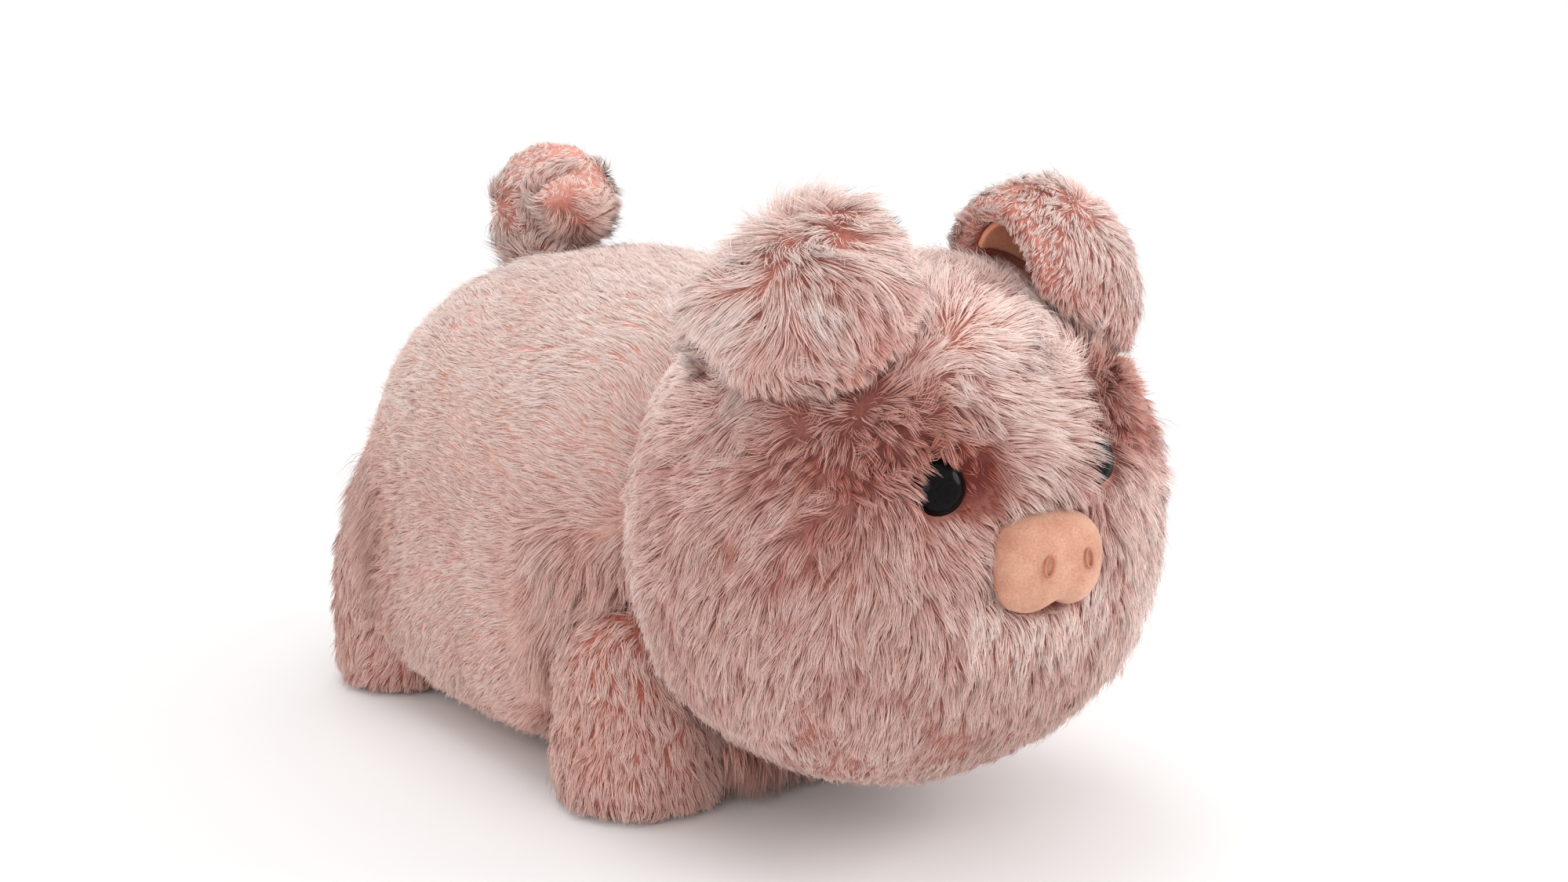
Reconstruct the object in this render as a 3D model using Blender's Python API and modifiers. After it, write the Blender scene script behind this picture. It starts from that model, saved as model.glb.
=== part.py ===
"""A plush pig: pile-fabric covers over stuffing, on four stub legs, with a nodding head,
folded ears, a curled tail, a velour snout and safety eyes. Metres, +Z up, the pig faces -Y.
The origin is on the floor, under the middle of the whole toy."""

import math

import bmesh
import bpy
from mathutils import Matrix, Vector

for old in list(bpy.data.objects):
    bpy.data.objects.remove(old, do_unlink=True)

# General clearances
SEAM_GAP = 0.0003
JOINT_GAP = 0.0008
OVERRUN = 0.010
MERGE_DISTANCE = 0.00001

# Body
BODY_HALF_WIDTH = 0.0765
BODY_HALF_LENGTH = 0.107
BODY_HALF_HEIGHT = 0.0765
BELLY_ABOVE_FLOOR = 0.004
BODY_COVER_THICKNESS = 0.008
BELLY_SEAM_ABOVE_FLOOR = 0.036
BODY_PLAN_SQUARENESS = 2.8
BODY_UPPER_SQUARENESS = 2.5
BODY_LOWER_SQUARENESS = 5.0
BODY_LOW_REAR_FULLNESS_SHARE = 0.21
BODY_LOW_FRONT_FULLNESS_SHARE = 0.14
BODY_LOW_WIDTH_SHARE = 0.05

# Head
HEAD_HALF_WIDTH = 0.0800
HEAD_HALF_LENGTH = 0.067
HEAD_HALF_HEIGHT = 0.0778
CHIN_ABOVE_FLOOR = 0.0190
HEAD_AHEAD_OF_BODY = 0.137
HEAD_COVER_THICKNESS = 0.010
HEAD_PLAN_SQUARENESS = 2.3
HEAD_SIDE_SQUARENESS = 2.2
JOWL_WIDTH_SHARE = 0.05
CROWN_STRIP_HALF_WIDTH = 0.018
CROWN_STRIP_ABOVE_SNOUT = 0.002

# Neck, a dome on the body in a bowl of the head
NECK_RADIUS = 0.060
NECK_PIVOT_BEHIND_HEAD = 0.099
NECK_PIVOT_BELOW_HEAD = 0.005
NOD_DOWN_DEG = 4.0
NOD_UP_DEG = 5.0
NOD_CLEARANCE = 0.0012

# Legs
FRONT_LEG_RADIUS = 0.0250
REAR_LEG_RADIUS = 0.0225
LEG_FOOT_SWELL = 0.0012
HIP_ABOVE_FLOOR = 0.046
LEG_SIDEWAYS = 0.054
FRONT_LEG_AHEAD_OF_BODY = 0.0755
REAR_LEG_BEHIND_BODY = 0.076
LEG_COVER_THICKNESS = 0.006
SOLE_RADIUS = 0.017
SOLE_THICKNESS = 0.004
STANDING_FLAT_RADIUS = 0.013
LEG_SWING_DEG = 8.0
LEG_OPENING_DEG = 55.0

# Snout
SNOUT_HALF_WIDTH = 0.0192
SNOUT_HALF_HEIGHT = 0.0150
SNOUT_HALF_LENGTH = 0.0125
SNOUT_AHEAD_OF_HEAD = 0.0665
SNOUT_ABOVE_HEAD = 0.0020
SNOUT_COVER_THICKNESS = 0.0022
SNOUT_SQUARENESS = 2.5
SNOUT_CLEFT_SHARE = 0.26
SNOUT_CLEFT_HALF_WIDTH = 0.0055

# Nostril embroidery
NOSTRIL_SIDEWAYS = 0.0078
NOSTRIL_ABOVE_SNOUT = 0.0020
NOSTRIL_HALF_WIDTH = 0.0017
NOSTRIL_HALF_HEIGHT = 0.0029
STITCH_RADIUS = 0.0006
STITCH_SUNK = 0.0003
STITCH_LEAN_DEG = 10.0

# Eyes
EYE_RADIUS = 0.008
EYE_DOME_HEIGHT = 0.0062
EYE_RIM_HEIGHT = 0.0012
EYE_SIDEWAYS = 0.0305
EYE_AHEAD_OF_HEAD = 0.0560
EYE_ABOVE_HEAD = 0.0260
EYE_SEAT_DEPTH = 0.0010
EYE_DIMPLE_DEPTH = 0.0055
EYE_DIMPLE_HALF_ANGLE_DEG = 24.0
EYE_STEM_RADIUS = 0.0021
EYE_STEM_LENGTH = 0.0165
WASHER_RADIUS = 0.0085
WASHER_THICKNESS = 0.0014

# Ears
EAR_SIDEWAYS = 0.0460
EAR_BEHIND_HEAD = 0.0050
EAR_ROOT_SLOPE_DEG = 32.0
EAR_ROOT_HALF_LENGTH = 0.0220
EAR_ROOT_RADIUS = 0.0055
EAR_ROOT_SUNK = 0.0020
EAR_RISE = 0.0325
EAR_LEAN_DEG = 12.0
EAR_BULGE = 0.0060
EAR_TIP_SIDEWAYS = 0.0460
EAR_TIP_HALF_WIDTH = 0.0210
EAR_TIP_AHEAD = 0.0460
EAR_TIP_ABOVE_HEAD = 0.0055
EAR_PILE_THICKNESS = 0.0075
EAR_LINING_THICKNESS = 0.0022
EAR_LINING_GAP = 0.0009
EAR_OUTER_DROOP_SHARE = 0.31
EAR_INNER_DROOP_SHARE = 0.48
EAR_OUTER_ROUNDING_SHARE = 0.50
EAR_INNER_ROUNDING_SHARE = 0.12
EAR_LINING_WIDTH_SHARE = 0.86
EAR_LINING_SHARES = (0.14, 0.92)

# Tail
TAIL_BEHIND_BODY = 0.0710
TAIL_ROOT_RADIUS = 0.0115
TAIL_ROOT_SUNK = 0.0060
TAIL_RADIUS = 0.0115
TAIL_TIP_RADIUS = 0.0088
TAIL_CURL_RADIUS = 0.0090
TAIL_PITCH = 0.0238
TAIL_TURNS = 1.12
TAIL_START_DEG = 240.0
TAIL_COVER_THICKNESS = 0.004
TAIL_ABOVE_RUMP = 0.0026
TAIL_WAG_GAP = 0.0016

# Facets: round solids are as coarse as their size in the hand allows
BODY_SEGMENTS = 24
BODY_RINGS = 12
HEAD_SEGMENTS = 24
HEAD_RINGS = 12
CORE_SEGMENTS = 16
CORE_RINGS = 8
LEG_STEPS = 12
SOCKET_STEPS = 20
SNOUT_SEGMENTS = 16
SNOUT_RINGS = 8
EYE_STEPS = 12
EYE_DOME_POINTS = 4
STITCH_SEGMENTS = 10
STITCH_SIDES = 5
EAR_LENGTH_CELLS = 9
EAR_WIDTH_CELLS = 6
TAIL_POINTS = 11
NECK_SEGMENTS = 20
DOME_POINTS = 3
SOCKET_DOME_POINTS = 6

parts = bpy.data.collections.new("plush_pig")
cutters = bpy.data.collections.new("cutters")
bpy.context.scene.collection.children.link(parts)
bpy.context.scene.collection.children.link(cutters)


def make_material(name, colour, roughness):
    """A Principled BSDF in one colour, given as linear red, green and blue."""
    material = bpy.data.materials.new(name)
    material.use_nodes = True
    shader = material.node_tree.nodes["Principled BSDF"]
    shader.inputs["Base Color"].default_value = (*colour, 1)
    shader.inputs["Roughness"].default_value = roughness
    shader.inputs["Metallic"].default_value = 0
    material.diffuse_color = (*colour, 1)
    return material


PILE_ROSE = ((0.56, 0.33, 0.29), 0.9)
PILE_BEIGE = ((0.62, 0.40, 0.35), 0.9)
PILE_DARK = ((0.45, 0.22, 0.19), 0.9)
VELOUR_PEACH = ((0.72, 0.40, 0.28), 0.8)
THREAD_PEACH = ((0.55, 0.25, 0.16), 0.6)
FIBRE_WHITE = ((0.85, 0.84, 0.80), 0.95)
GLOSS_BLACK = ((0.006, 0.005, 0.006), 0.08)
PLASTIC_WHITE = ((0.75, 0.75, 0.72), 0.4)


def smooth(mesh):
    mesh.shade_smooth()
    mesh.set_sharp_from_angle(angle=math.radians(40))


def add_object(name, mesh, where=parts):
    ob = bpy.data.objects.new(name, mesh)
    where.objects.link(ob)
    if where is cutters:
        ob.hide_render = True
        ob.display_type = "WIRE"
    return ob


def mesh_from(bm, name):
    mesh = bpy.data.meshes.new(name)
    bm.to_mesh(mesh)
    bm.free()
    return mesh


def settled(ob):
    """The object's mesh with its modifiers worked in, in world space."""
    bpy.context.view_layer.update()
    graph = bpy.context.evaluated_depsgraph_get()
    mesh = bpy.data.meshes.new_from_object(ob.evaluated_get(graph))
    mesh.transform(ob.matrix_world)
    return mesh


def finish_part(name, mesh, look, origin=None):
    """A named part from a world-space mesh, with its origin on its joint's axis if it moves."""
    ob = add_object(name, mesh)
    mesh.name = name
    mesh.materials.clear()
    mesh.materials.append(make_material(name, *look))
    if origin is not None:
        mesh.transform(Matrix.Translation(-origin))
        ob.location = origin
    smooth(mesh)
    return ob


def boolean(ob, tool, operation):
    step = ob.modifiers.new(operation.lower(), "BOOLEAN")
    step.operation = operation
    step.solver = "EXACT"
    step.object = tool


def carved(name, mesh, cut=(), join=()):
    """A mesh joined with other solids and then cut by others."""
    ob = add_object(name, mesh.copy(), cutters)
    for tool in join:
        boolean(ob, tool, "UNION")
    for tool in cut:
        boolean(ob, tool, "DIFFERENCE")
    result = settled(ob)
    bpy.data.objects.remove(ob, do_unlink=True)
    return result


# Soft forms: a unit sphere whose points are moved out to a rounded box


def rounded_reach(direction, halves, plan, side):
    """How far a rounded box reaches from its centre in a direction."""
    flat = abs(direction.x / halves.x) ** plan + abs(direction.y / halves.y) ** plan
    return (flat ** (side / plan) + abs(direction.z / halves.z) ** side) ** (-1 / side)


def bump(angle, half_angle):
    """1 in the middle of a dimple, falling smoothly to 0 at its rim."""
    if angle >= half_angle:
        return 0
    return 0.5 + 0.5 * math.cos(math.pi * angle / half_angle)


def body_offset(direction, inset):
    """A point of the body's skin from its middle: wider and longer low down."""
    side = BODY_UPPER_SQUARENESS if direction.z > 0 else BODY_LOWER_SQUARENESS
    halves = Vector((BODY_HALF_WIDTH, BODY_HALF_LENGTH, BODY_HALF_HEIGHT))
    point = direction * (rounded_reach(direction, halves, BODY_PLAN_SQUARENESS, side) - inset)
    low = -point.z / BODY_HALF_HEIGHT
    point.x *= 1 + BODY_LOW_WIDTH_SHARE * low
    fullness = BODY_LOW_REAR_FULLNESS_SHARE if point.y > 0 else BODY_LOW_FRONT_FULLNESS_SHARE
    point.y *= 1 + fullness * low * abs(point.y) / BODY_HALF_LENGTH
    return point


def rear_reach():
    """How far the body's rearmost corner lies behind its middle."""
    angles = [math.tau * i / BODY_SEGMENTS for i in range(BODY_SEGMENTS)]
    return max(body_offset(Vector((0, math.sin(a), math.cos(a))), 0).y for a in angles)


# Stations along Y: the toy's front and rear are equally far from the origin
THREAD_REACH = 2 * STITCH_RADIUS - STITCH_SUNK
FRONT_REACH = HEAD_AHEAD_OF_BODY + SNOUT_AHEAD_OF_HEAD + SNOUT_HALF_LENGTH + THREAD_REACH
BODY_Y = (FRONT_REACH - rear_reach()) / 2
HEAD_Y = BODY_Y - HEAD_AHEAD_OF_BODY
FRONT_LEG_Y = BODY_Y - FRONT_LEG_AHEAD_OF_BODY
REAR_LEG_Y = BODY_Y + REAR_LEG_BEHIND_BODY
BODY_CENTRE = Vector((0, BODY_Y, BELLY_ABOVE_FLOOR + BODY_HALF_HEIGHT))
HEAD_CENTRE = Vector((0, HEAD_Y, CHIN_ABOVE_FLOOR + HEAD_HALF_HEIGHT))
NECK_PIVOT = HEAD_CENTRE + Vector((0, NECK_PIVOT_BEHIND_HEAD, -NECK_PIVOT_BELOW_HEAD))
SNOUT_CENTRE = HEAD_CENTRE + Vector((0, -SNOUT_AHEAD_OF_HEAD, SNOUT_ABOVE_HEAD))
HEAD_HALVES = Vector((HEAD_HALF_WIDTH, HEAD_HALF_LENGTH, HEAD_HALF_HEIGHT))
SNOUT_HALVES = Vector((SNOUT_HALF_WIDTH, SNOUT_HALF_LENGTH, SNOUT_HALF_HEIGHT))
EYE_OFFSET = Vector((EYE_SIDEWAYS, -EYE_AHEAD_OF_HEAD, EYE_ABOVE_HEAD))
RIGHTWARD = Vector((1, 0, 0))
UPWARD = Vector((0, 0, 1))


def body_point(direction, inset):
    return BODY_CENTRE + body_offset(direction, inset)


def head_point(direction, inset):
    """A point of the head's skin: jowls low down, and a dimple at each eye."""
    reach = rounded_reach(direction, HEAD_HALVES, HEAD_PLAN_SQUARENESS, HEAD_SIDE_SQUARENESS)
    for side in (-1, 1):
        eye = Vector((side * EYE_OFFSET.x, EYE_OFFSET.y, EYE_OFFSET.z))
        angle = direction.angle(eye)
        reach -= EYE_DIMPLE_DEPTH * bump(angle, math.radians(EYE_DIMPLE_HALF_ANGLE_DEG))
    point = direction * (reach - inset)
    low = -point.z / HEAD_HALF_HEIGHT
    point.x *= 1 + JOWL_WIDTH_SHARE * low * (1 - abs(low))
    return HEAD_CENTRE + point


def snout_point(direction, inset):
    """A point of the snout's skin: a pillow with a cleft in the middle of its lower edge."""
    halves = SNOUT_HALVES - Vector((inset, inset, inset))
    reach = rounded_reach(direction, halves, SNOUT_SQUARENESS, SNOUT_SQUARENESS)
    point = direction * reach
    if point.z < 0:
        middle = math.exp(-((point.x / SNOUT_CLEFT_HALF_WIDTH) ** 2))
        point.z *= 1 - SNOUT_CLEFT_SHARE * middle * -point.z / halves.z
    return SNOUT_CENTRE + point


def form(point_at, segments, rings, inset=0):
    """A closed soft form as a world-space mesh."""
    bm = bmesh.new()
    turn = Matrix.Rotation(math.pi / 2, 4, "Y")
    bmesh.ops.create_uvsphere(bm, u_segments=segments, v_segments=rings, radius=1, matrix=turn)
    for vert in bm.verts:
        vert.co = point_at(vert.co.normalized(), inset)
    bmesh.ops.triangulate(bm, faces=bm.faces)
    return mesh_from(bm, "form")


def sliced(mesh, planes):
    """What lies on the inner side of planes, each a point and an outward way, closed again."""
    bm = bmesh.new()
    bm.from_mesh(mesh)
    for point, outward in planes:
        geometry = bm.verts[:] + bm.edges[:] + bm.faces[:]
        bmesh.ops.bisect_plane(
            bm, geom=geometry, plane_co=point, plane_no=outward, clear_outer=True
        )
        rim = [edge for edge in bm.edges if edge.is_boundary]
        bmesh.ops.holes_fill(bm, edges=rim, sides=len(rim))
    bmesh.ops.triangulate(bm, faces=bm.faces)
    bmesh.ops.recalc_face_normals(bm, faces=bm.faces)
    return mesh_from(bm, mesh.name)


def tool_from(name, mesh):
    return add_object(name, mesh, cutters)


# Plain cutting tools


def box_tool(name, low, high):
    bm = bmesh.new()
    bmesh.ops.create_cube(bm, size=1)
    for vert in bm.verts:
        for axis in range(3):
            vert.co[axis] = high[axis] if vert.co[axis] > 0 else low[axis]
    return tool_from(name, mesh_from(bm, name))


def sphere_mesh(centre, radius, segments):
    """A sphere with its poles on X, so that a nod or a swing carries it along itself."""
    bm = bmesh.new()
    turn = Matrix.Rotation(math.pi / 2, 4, "Y")
    place = Matrix.Translation(centre) @ turn
    bmesh.ops.create_uvsphere(
        bm, u_segments=segments, v_segments=segments // 2, radius=radius, matrix=place
    )
    return mesh_from(bm, "sphere")


def along(axis):
    """The turn that carries +Z to an axis."""
    return axis.to_track_quat("Z", "Y").to_matrix().to_4x4()


def cylinder_mesh(centre, axis, radius, low, high, segments):
    bm = bmesh.new()
    place = Matrix.Translation(centre + axis * (low + high) / 2) @ along(axis)
    bmesh.ops.create_cone(
        bm,
        cap_ends=True,
        segments=segments,
        radius1=radius,
        radius2=radius,
        depth=high - low,
        matrix=place,
    )
    return mesh_from(bm, "cylinder")


def turned_mesh(profile, steps, place, closed):
    """A profile of (radius, height) points that runs down its outer side, turned about +Z."""
    mesh = bpy.data.meshes.new("profile")
    edges = [(i, i + 1) for i in range(len(profile) - 1)]
    if closed:
        edges.append((len(profile) - 1, 0))
    mesh.from_pydata([(r, 0, z) for r, z in profile], edges, [])
    ob = add_object("profile", mesh, cutters)
    ob.matrix_world = place
    screw = ob.modifiers.new("screw", "SCREW")
    screw.axis = "Z"
    screw.angle = math.tau
    screw.steps = steps
    screw.render_steps = steps
    screw.use_merge_vertices = True
    screw.merge_threshold = MERGE_DISTANCE
    result = settled(ob)
    bpy.data.objects.remove(ob, do_unlink=True)
    return result


# Legs


def leg_profile(radius, bottom):
    """A leg's outer side from the hip's dome down to a height, as (radius, height)."""
    points = []
    for i in range(DOME_POINTS + 1):
        angle = math.radians(LEG_OPENING_DEG) * (1 - i / DOME_POINTS)
        height = HIP_ABOVE_FLOOR + radius * math.sin(angle)
        points.append((radius * math.cos(angle), height))
    foot_heights_shares = (0.62, 0.34, 0.17, 0.07)
    foot_widths_shares = (0.60, 1.00, 0.80, 0.00)
    for height_share, width_share in zip(foot_heights_shares, foot_widths_shares):
        height = HIP_ABOVE_FLOOR * height_share
        if height > bottom:
            points.append((radius + LEG_FOOT_SWELL * width_share, height))
    return points


def head_room_tools(hip):
    """What the nodding head takes away from a leg, over the whole of the leg's swing."""
    tools = []
    for swing in (-LEG_SWING_DEG, 0, LEG_SWING_DEG):
        room = form(nod_point, HEAD_SEGMENTS, HEAD_RINGS, -NOD_CLEARANCE)
        turn = Matrix.Rotation(math.radians(swing), 4, "X")
        room.transform(Matrix.Translation(hip) @ turn @ Matrix.Translation(-hip))
        tools.append(tool_from("head_room", room))
    return tools


def leg_parts(side, end, y, radius):
    """One leg: its pile cover, its sole and its stuffing, all turning about the hip."""
    hip = Vector((side * LEG_SIDEWAYS, y, HIP_ABOVE_FLOOR))
    cut = head_room_tools(hip) if end == "front" else []
    place = Matrix.Translation((hip.x, hip.y, 0))
    suffix = end + ("_left" if side > 0 else "_right")
    heel_height = SOLE_THICKNESS / 4
    inner_bottom = SOLE_THICKNESS + SEAM_GAP
    outside = leg_profile(radius, 0)
    outside.append((SOLE_RADIUS + SEAM_GAP, heel_height))
    inner_radius = radius - LEG_COVER_THICKNESS
    inside = leg_profile(inner_radius, inner_bottom)
    inside.append((inner_radius, inner_bottom))
    lip = [(SOLE_RADIUS + SEAM_GAP, inner_bottom)]
    cover = turned_mesh(outside + lip + inside[::-1], LEG_STEPS, place, closed=True)
    finish_part("leg_cover_" + suffix, carved("cover", cover, cut=cut), PILE_DARK, hip)
    sole_outline = [
        (0, SOLE_THICKNESS),
        (SOLE_RADIUS, SOLE_THICKNESS),
        (SOLE_RADIUS, heel_height),
        (STANDING_FLAT_RADIUS, 0),
        (0, 0),
    ]
    sole = turned_mesh(sole_outline, LEG_STEPS, place, closed=False)
    finish_part("leg_sole_" + suffix, sole, PILE_DARK, hip)
    core_bottom = inner_bottom + SEAM_GAP
    core = leg_profile(inner_radius - SEAM_GAP, core_bottom)
    core.append((inner_radius - SEAM_GAP, core_bottom))
    core = [(0, core[0][1])] + core + [(0, core_bottom)]
    stuffing = turned_mesh(core, LEG_STEPS, place, closed=False)
    finish_part("leg_stuffing_" + suffix, carved("core", stuffing, cut=cut), FIBRE_WHITE, hip)


def leg_socket(side, y, leg_radius):
    """The room a leg needs in the body: a dome over the hip, flared below it for the swing."""
    radius = leg_radius + JOINT_GAP
    points = []
    for i in range(SOCKET_DOME_POINTS + 1):
        angle = math.pi / 2 * (1 - i / SOCKET_DOME_POINTS)
        points.append((radius * math.cos(angle), HIP_ABOVE_FLOOR + radius * math.sin(angle)))
    swing = math.radians(LEG_SWING_DEG)
    foot = (radius + LEG_FOOT_SWELL) / math.cos(swing)
    depth = HIP_ABOVE_FLOOR + OVERRUN
    points.append((foot + depth * math.tan(swing), -OVERRUN))
    points.append((0, -OVERRUN))
    place = Matrix.Translation((side * LEG_SIDEWAYS, y, 0))
    return tool_from("leg_socket", turned_mesh(points, SOCKET_STEPS, place, closed=False))


# Neck: the bowl in the head, and what the nodding head takes away from the body


def nod_point(direction, inset):
    """A point of the head's skin, moved as far as the nod moves it outwards."""
    point = head_point(direction, inset)
    arm = point - NECK_PIVOT
    nod = math.sin(math.radians(NOD_UP_DEG if arm.z > 0 else NOD_DOWN_DEG))
    point.y += abs(arm.z) * nod
    point.z += math.copysign(arm.y * nod, arm.z)
    return point


def nod_room_tool():
    """The room the head needs in the body as it nods, less the dome that it turns on."""
    dome = tool_from("neck_dome", sphere_mesh(NECK_PIVOT, NECK_RADIUS, NECK_SEGMENTS))
    room = form(nod_point, HEAD_SEGMENTS, HEAD_RINGS, -NOD_CLEARANCE)
    return tool_from("nod_room", carved("nod_room", room, cut=[dome]))


# Tail


def rump_frame():
    """The spot of the rump under the tail: its place, its normal and the way forward."""
    above = Vector((0, TAIL_BEHIND_BODY, BODY_HALF_HEIGHT))
    spot = body_point(above.normalized(), 0)
    step = Vector((0, TAIL_ROOT_RADIUS, 0))
    ahead = body_point((above - step).normalized(), 0)
    behind = body_point((above + step).normalized(), 0)
    forward = (ahead - behind).normalized()
    normal = forward.cross(RIGHTWARD).normalized()
    return spot, normal, forward


def tail_path():
    """The tail's centre line: up from its root, then round a curl that creeps forward."""
    spot, normal, forward = rump_frame()
    root = spot + normal * (TAIL_ROOT_RADIUS / 2 - TAIL_ROOT_SUNK)
    middle_height = TAIL_ABOVE_RUMP + TAIL_RADIUS + TAIL_CURL_RADIUS
    points = [root]
    for i in range(TAIL_POINTS + 1):
        share = i / TAIL_POINTS
        angle = math.radians(TAIL_START_DEG) - math.tau * TAIL_TURNS * share
        across = RIGHTWARD * TAIL_CURL_RADIUS * math.cos(angle)
        up = normal * (middle_height + TAIL_CURL_RADIUS * math.sin(angle))
        creep = forward * TAIL_PITCH * TAIL_TURNS * share
        points.append(spot + across + up + creep)
    return root, points


def tail_tube(thickness_less, root_extension, tip_less):
    """A tube along the tail's centre line, thinner towards the tip, with capped ends."""
    root, points = tail_path()
    if tip_less:
        points = points[:-tip_less]
    points[0] = points[0] + (points[0] - points[1]).normalized() * root_extension
    curve = bpy.data.curves.new("tail_line", "CURVE")
    curve.dimensions = "3D"
    curve.bevel_depth = TAIL_RADIUS
    curve.bevel_resolution = 2
    curve.use_fill_caps = True
    line = curve.splines.new("POLY")
    line.points.add(len(points) - 1)
    for i, place in enumerate(points):
        share = i / (TAIL_POINTS + 1)
        width = TAIL_RADIUS + (TAIL_TIP_RADIUS - TAIL_RADIUS) * share - thickness_less
        line.points[i].co = (*place, 1)
        line.points[i].radius = width / TAIL_RADIUS
    ob = add_object("tail_line", curve, cutters)
    mesh = settled(ob)
    bpy.data.objects.remove(ob, do_unlink=True)
    bm = bmesh.new()
    bm.from_mesh(mesh)
    bmesh.ops.remove_doubles(bm, verts=bm.verts, dist=MERGE_DISTANCE)
    return root, mesh_from(bm, "tail_tube")


def tail_parts():
    root, outside = tail_tube(0, 0, 0)
    ball = tool_from("tail_ball", sphere_mesh(root, TAIL_ROOT_RADIUS, LEG_STEPS))
    _, hollow = tail_tube(TAIL_COVER_THICKNESS, TAIL_ROOT_RADIUS + OVERRUN, 1)
    hollow_tool = tool_from("tail_hollow", hollow)
    cover = carved("tail_cover", outside, cut=[hollow_tool], join=[ball])
    finish_part("tail_cover", cover, PILE_BEIGE, root)
    _, core = tail_tube(TAIL_COVER_THICKNESS + SEAM_GAP, TAIL_ROOT_RADIUS / 2, 2)
    finish_part("tail_stuffing", core, FIBRE_WHITE, root)


def tail_socket():
    root = tail_path()[0]
    radius = TAIL_ROOT_RADIUS + TAIL_WAG_GAP
    return tool_from("tail_socket", sphere_mesh(root, radius, SOCKET_STEPS))


# Ears


def head_top(x, y, margin):
    """How high the head's skin, grown by a margin, is over a spot."""
    halves = HEAD_HALVES + Vector((margin, margin, margin))
    flat = abs(x / halves.x) ** HEAD_PLAN_SQUARENESS
    flat += abs((y - HEAD_Y) / halves.y) ** HEAD_PLAN_SQUARENESS
    left = 1 - flat ** (HEAD_SIDE_SQUARENESS / HEAD_PLAN_SQUARENESS)
    return HEAD_CENTRE.z + halves.z * left ** (1 / HEAD_SIDE_SQUARENESS)


def ear_frame(side):
    """The middle of an ear's root, the way out along the root, and the way the ear rises."""
    slope = math.radians(EAR_ROOT_SLOPE_DEG)
    out = Vector((side * math.cos(slope), 0, -math.sin(slope)))
    lean = math.radians(EAR_LEAN_DEG)
    up = Vector((side * math.sin(lean), 0, math.cos(lean)))
    y = HEAD_Y + EAR_BEHIND_HEAD
    root = Vector((side * EAR_SIDEWAYS, y, head_top(EAR_SIDEWAYS, y, -EAR_ROOT_SUNK)))
    return root, out, up


def ear_point(side, length_share, width_share):
    """A point of the ear's sheet, which arches up from its root and forward to the brow."""
    root, out, up = ear_frame(side)
    outer = width_share > 0
    rounding = EAR_OUTER_ROUNDING_SHARE if outer else EAR_INNER_ROUNDING_SHARE
    x = EAR_TIP_SIDEWAYS + EAR_TIP_HALF_WIDTH * width_share
    y = root.y - EAR_TIP_AHEAD * (1 - rounding * width_share**2)
    tip = Vector((side * x, y, head_top(x, y, EAR_TIP_ABOVE_HEAD)))
    start = root + out * EAR_ROOT_HALF_LENGTH * width_share
    arch = math.sin(math.pi * length_share)
    droop = EAR_OUTER_DROOP_SHARE if outer else EAR_INNER_DROOP_SHARE
    rise = EAR_RISE * arch * (1 - droop * width_share**2)
    along_share = (1 - math.cos(math.pi * length_share)) / 2
    return start.lerp(tip, along_share) + up * rise + out * EAR_BULGE * arch * width_share


def ear_sheet(side, width_limit, length_limits, lift, thickness):
    """A thick sheet over part of the ear, its base lifted off the ear's middle surface."""
    bm = bmesh.new()
    bmesh.ops.create_grid(bm, x_segments=EAR_WIDTH_CELLS, y_segments=EAR_LENGTH_CELLS, size=1)
    low, high = length_limits
    for vert in bm.verts:
        length_share = low + (high - low) * (vert.co.y + 1) / 2
        vert.co = ear_point(side, length_share, vert.co.x * width_limit)
    if side > 0:
        bmesh.ops.reverse_faces(bm, faces=bm.faces)
    bm.normal_update()
    normals = [vert.normal.copy() for vert in bm.verts]
    for vert, normal in zip(bm.verts, normals):
        vert.co += normal * lift
    ob = add_object("sheet", mesh_from(bm, "sheet"), cutters)
    shell = ob.modifiers.new("solidify", "SOLIDIFY")
    shell.thickness = thickness
    shell.offset = 1
    shell.use_even_offset = True
    shell.use_quality_normals = True
    result = settled(ob)
    bpy.data.objects.remove(ob, do_unlink=True)
    return result


def ear_parts(side):
    root, out = ear_frame(side)[:2]
    suffix = "_left" if side > 0 else "_right"
    inner_face = -EAR_PILE_THICKNESS / 2
    flap = ear_sheet(side, 1, (0, 1), inner_face, EAR_PILE_THICKNESS)
    half = EAR_ROOT_HALF_LENGTH
    roll = cylinder_mesh(root, out, EAR_ROOT_RADIUS, -half, half, LEG_STEPS)
    roll_tool = tool_from("ear_roll", roll)
    finish_part("ear_outer" + suffix, carved("ear", flap, join=[roll_tool]), PILE_BEIGE, root)
    lining = ear_sheet(
        side,
        EAR_LINING_WIDTH_SHARE,
        EAR_LINING_SHARES,
        inner_face - EAR_LINING_GAP - EAR_LINING_THICKNESS,
        EAR_LINING_THICKNESS,
    )
    finish_part("ear_lining" + suffix, lining, VELOUR_PEACH, root)


def ear_groove(side):
    """The groove in the head that an ear's root turns in."""
    root, out = ear_frame(side)[:2]
    half = EAR_ROOT_HALF_LENGTH + JOINT_GAP
    radius = EAR_ROOT_RADIUS + JOINT_GAP
    return tool_from("ear_groove", cylinder_mesh(root, out, radius, -half, half, SOCKET_STEPS))


# Eyes


def eye_place(side):
    """The middle of an eye's seat and the way it looks."""
    direction = Vector((side * EYE_OFFSET.x, EYE_OFFSET.y, EYE_OFFSET.z)).normalized()
    return head_point(direction, EYE_SEAT_DEPTH), direction


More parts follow.
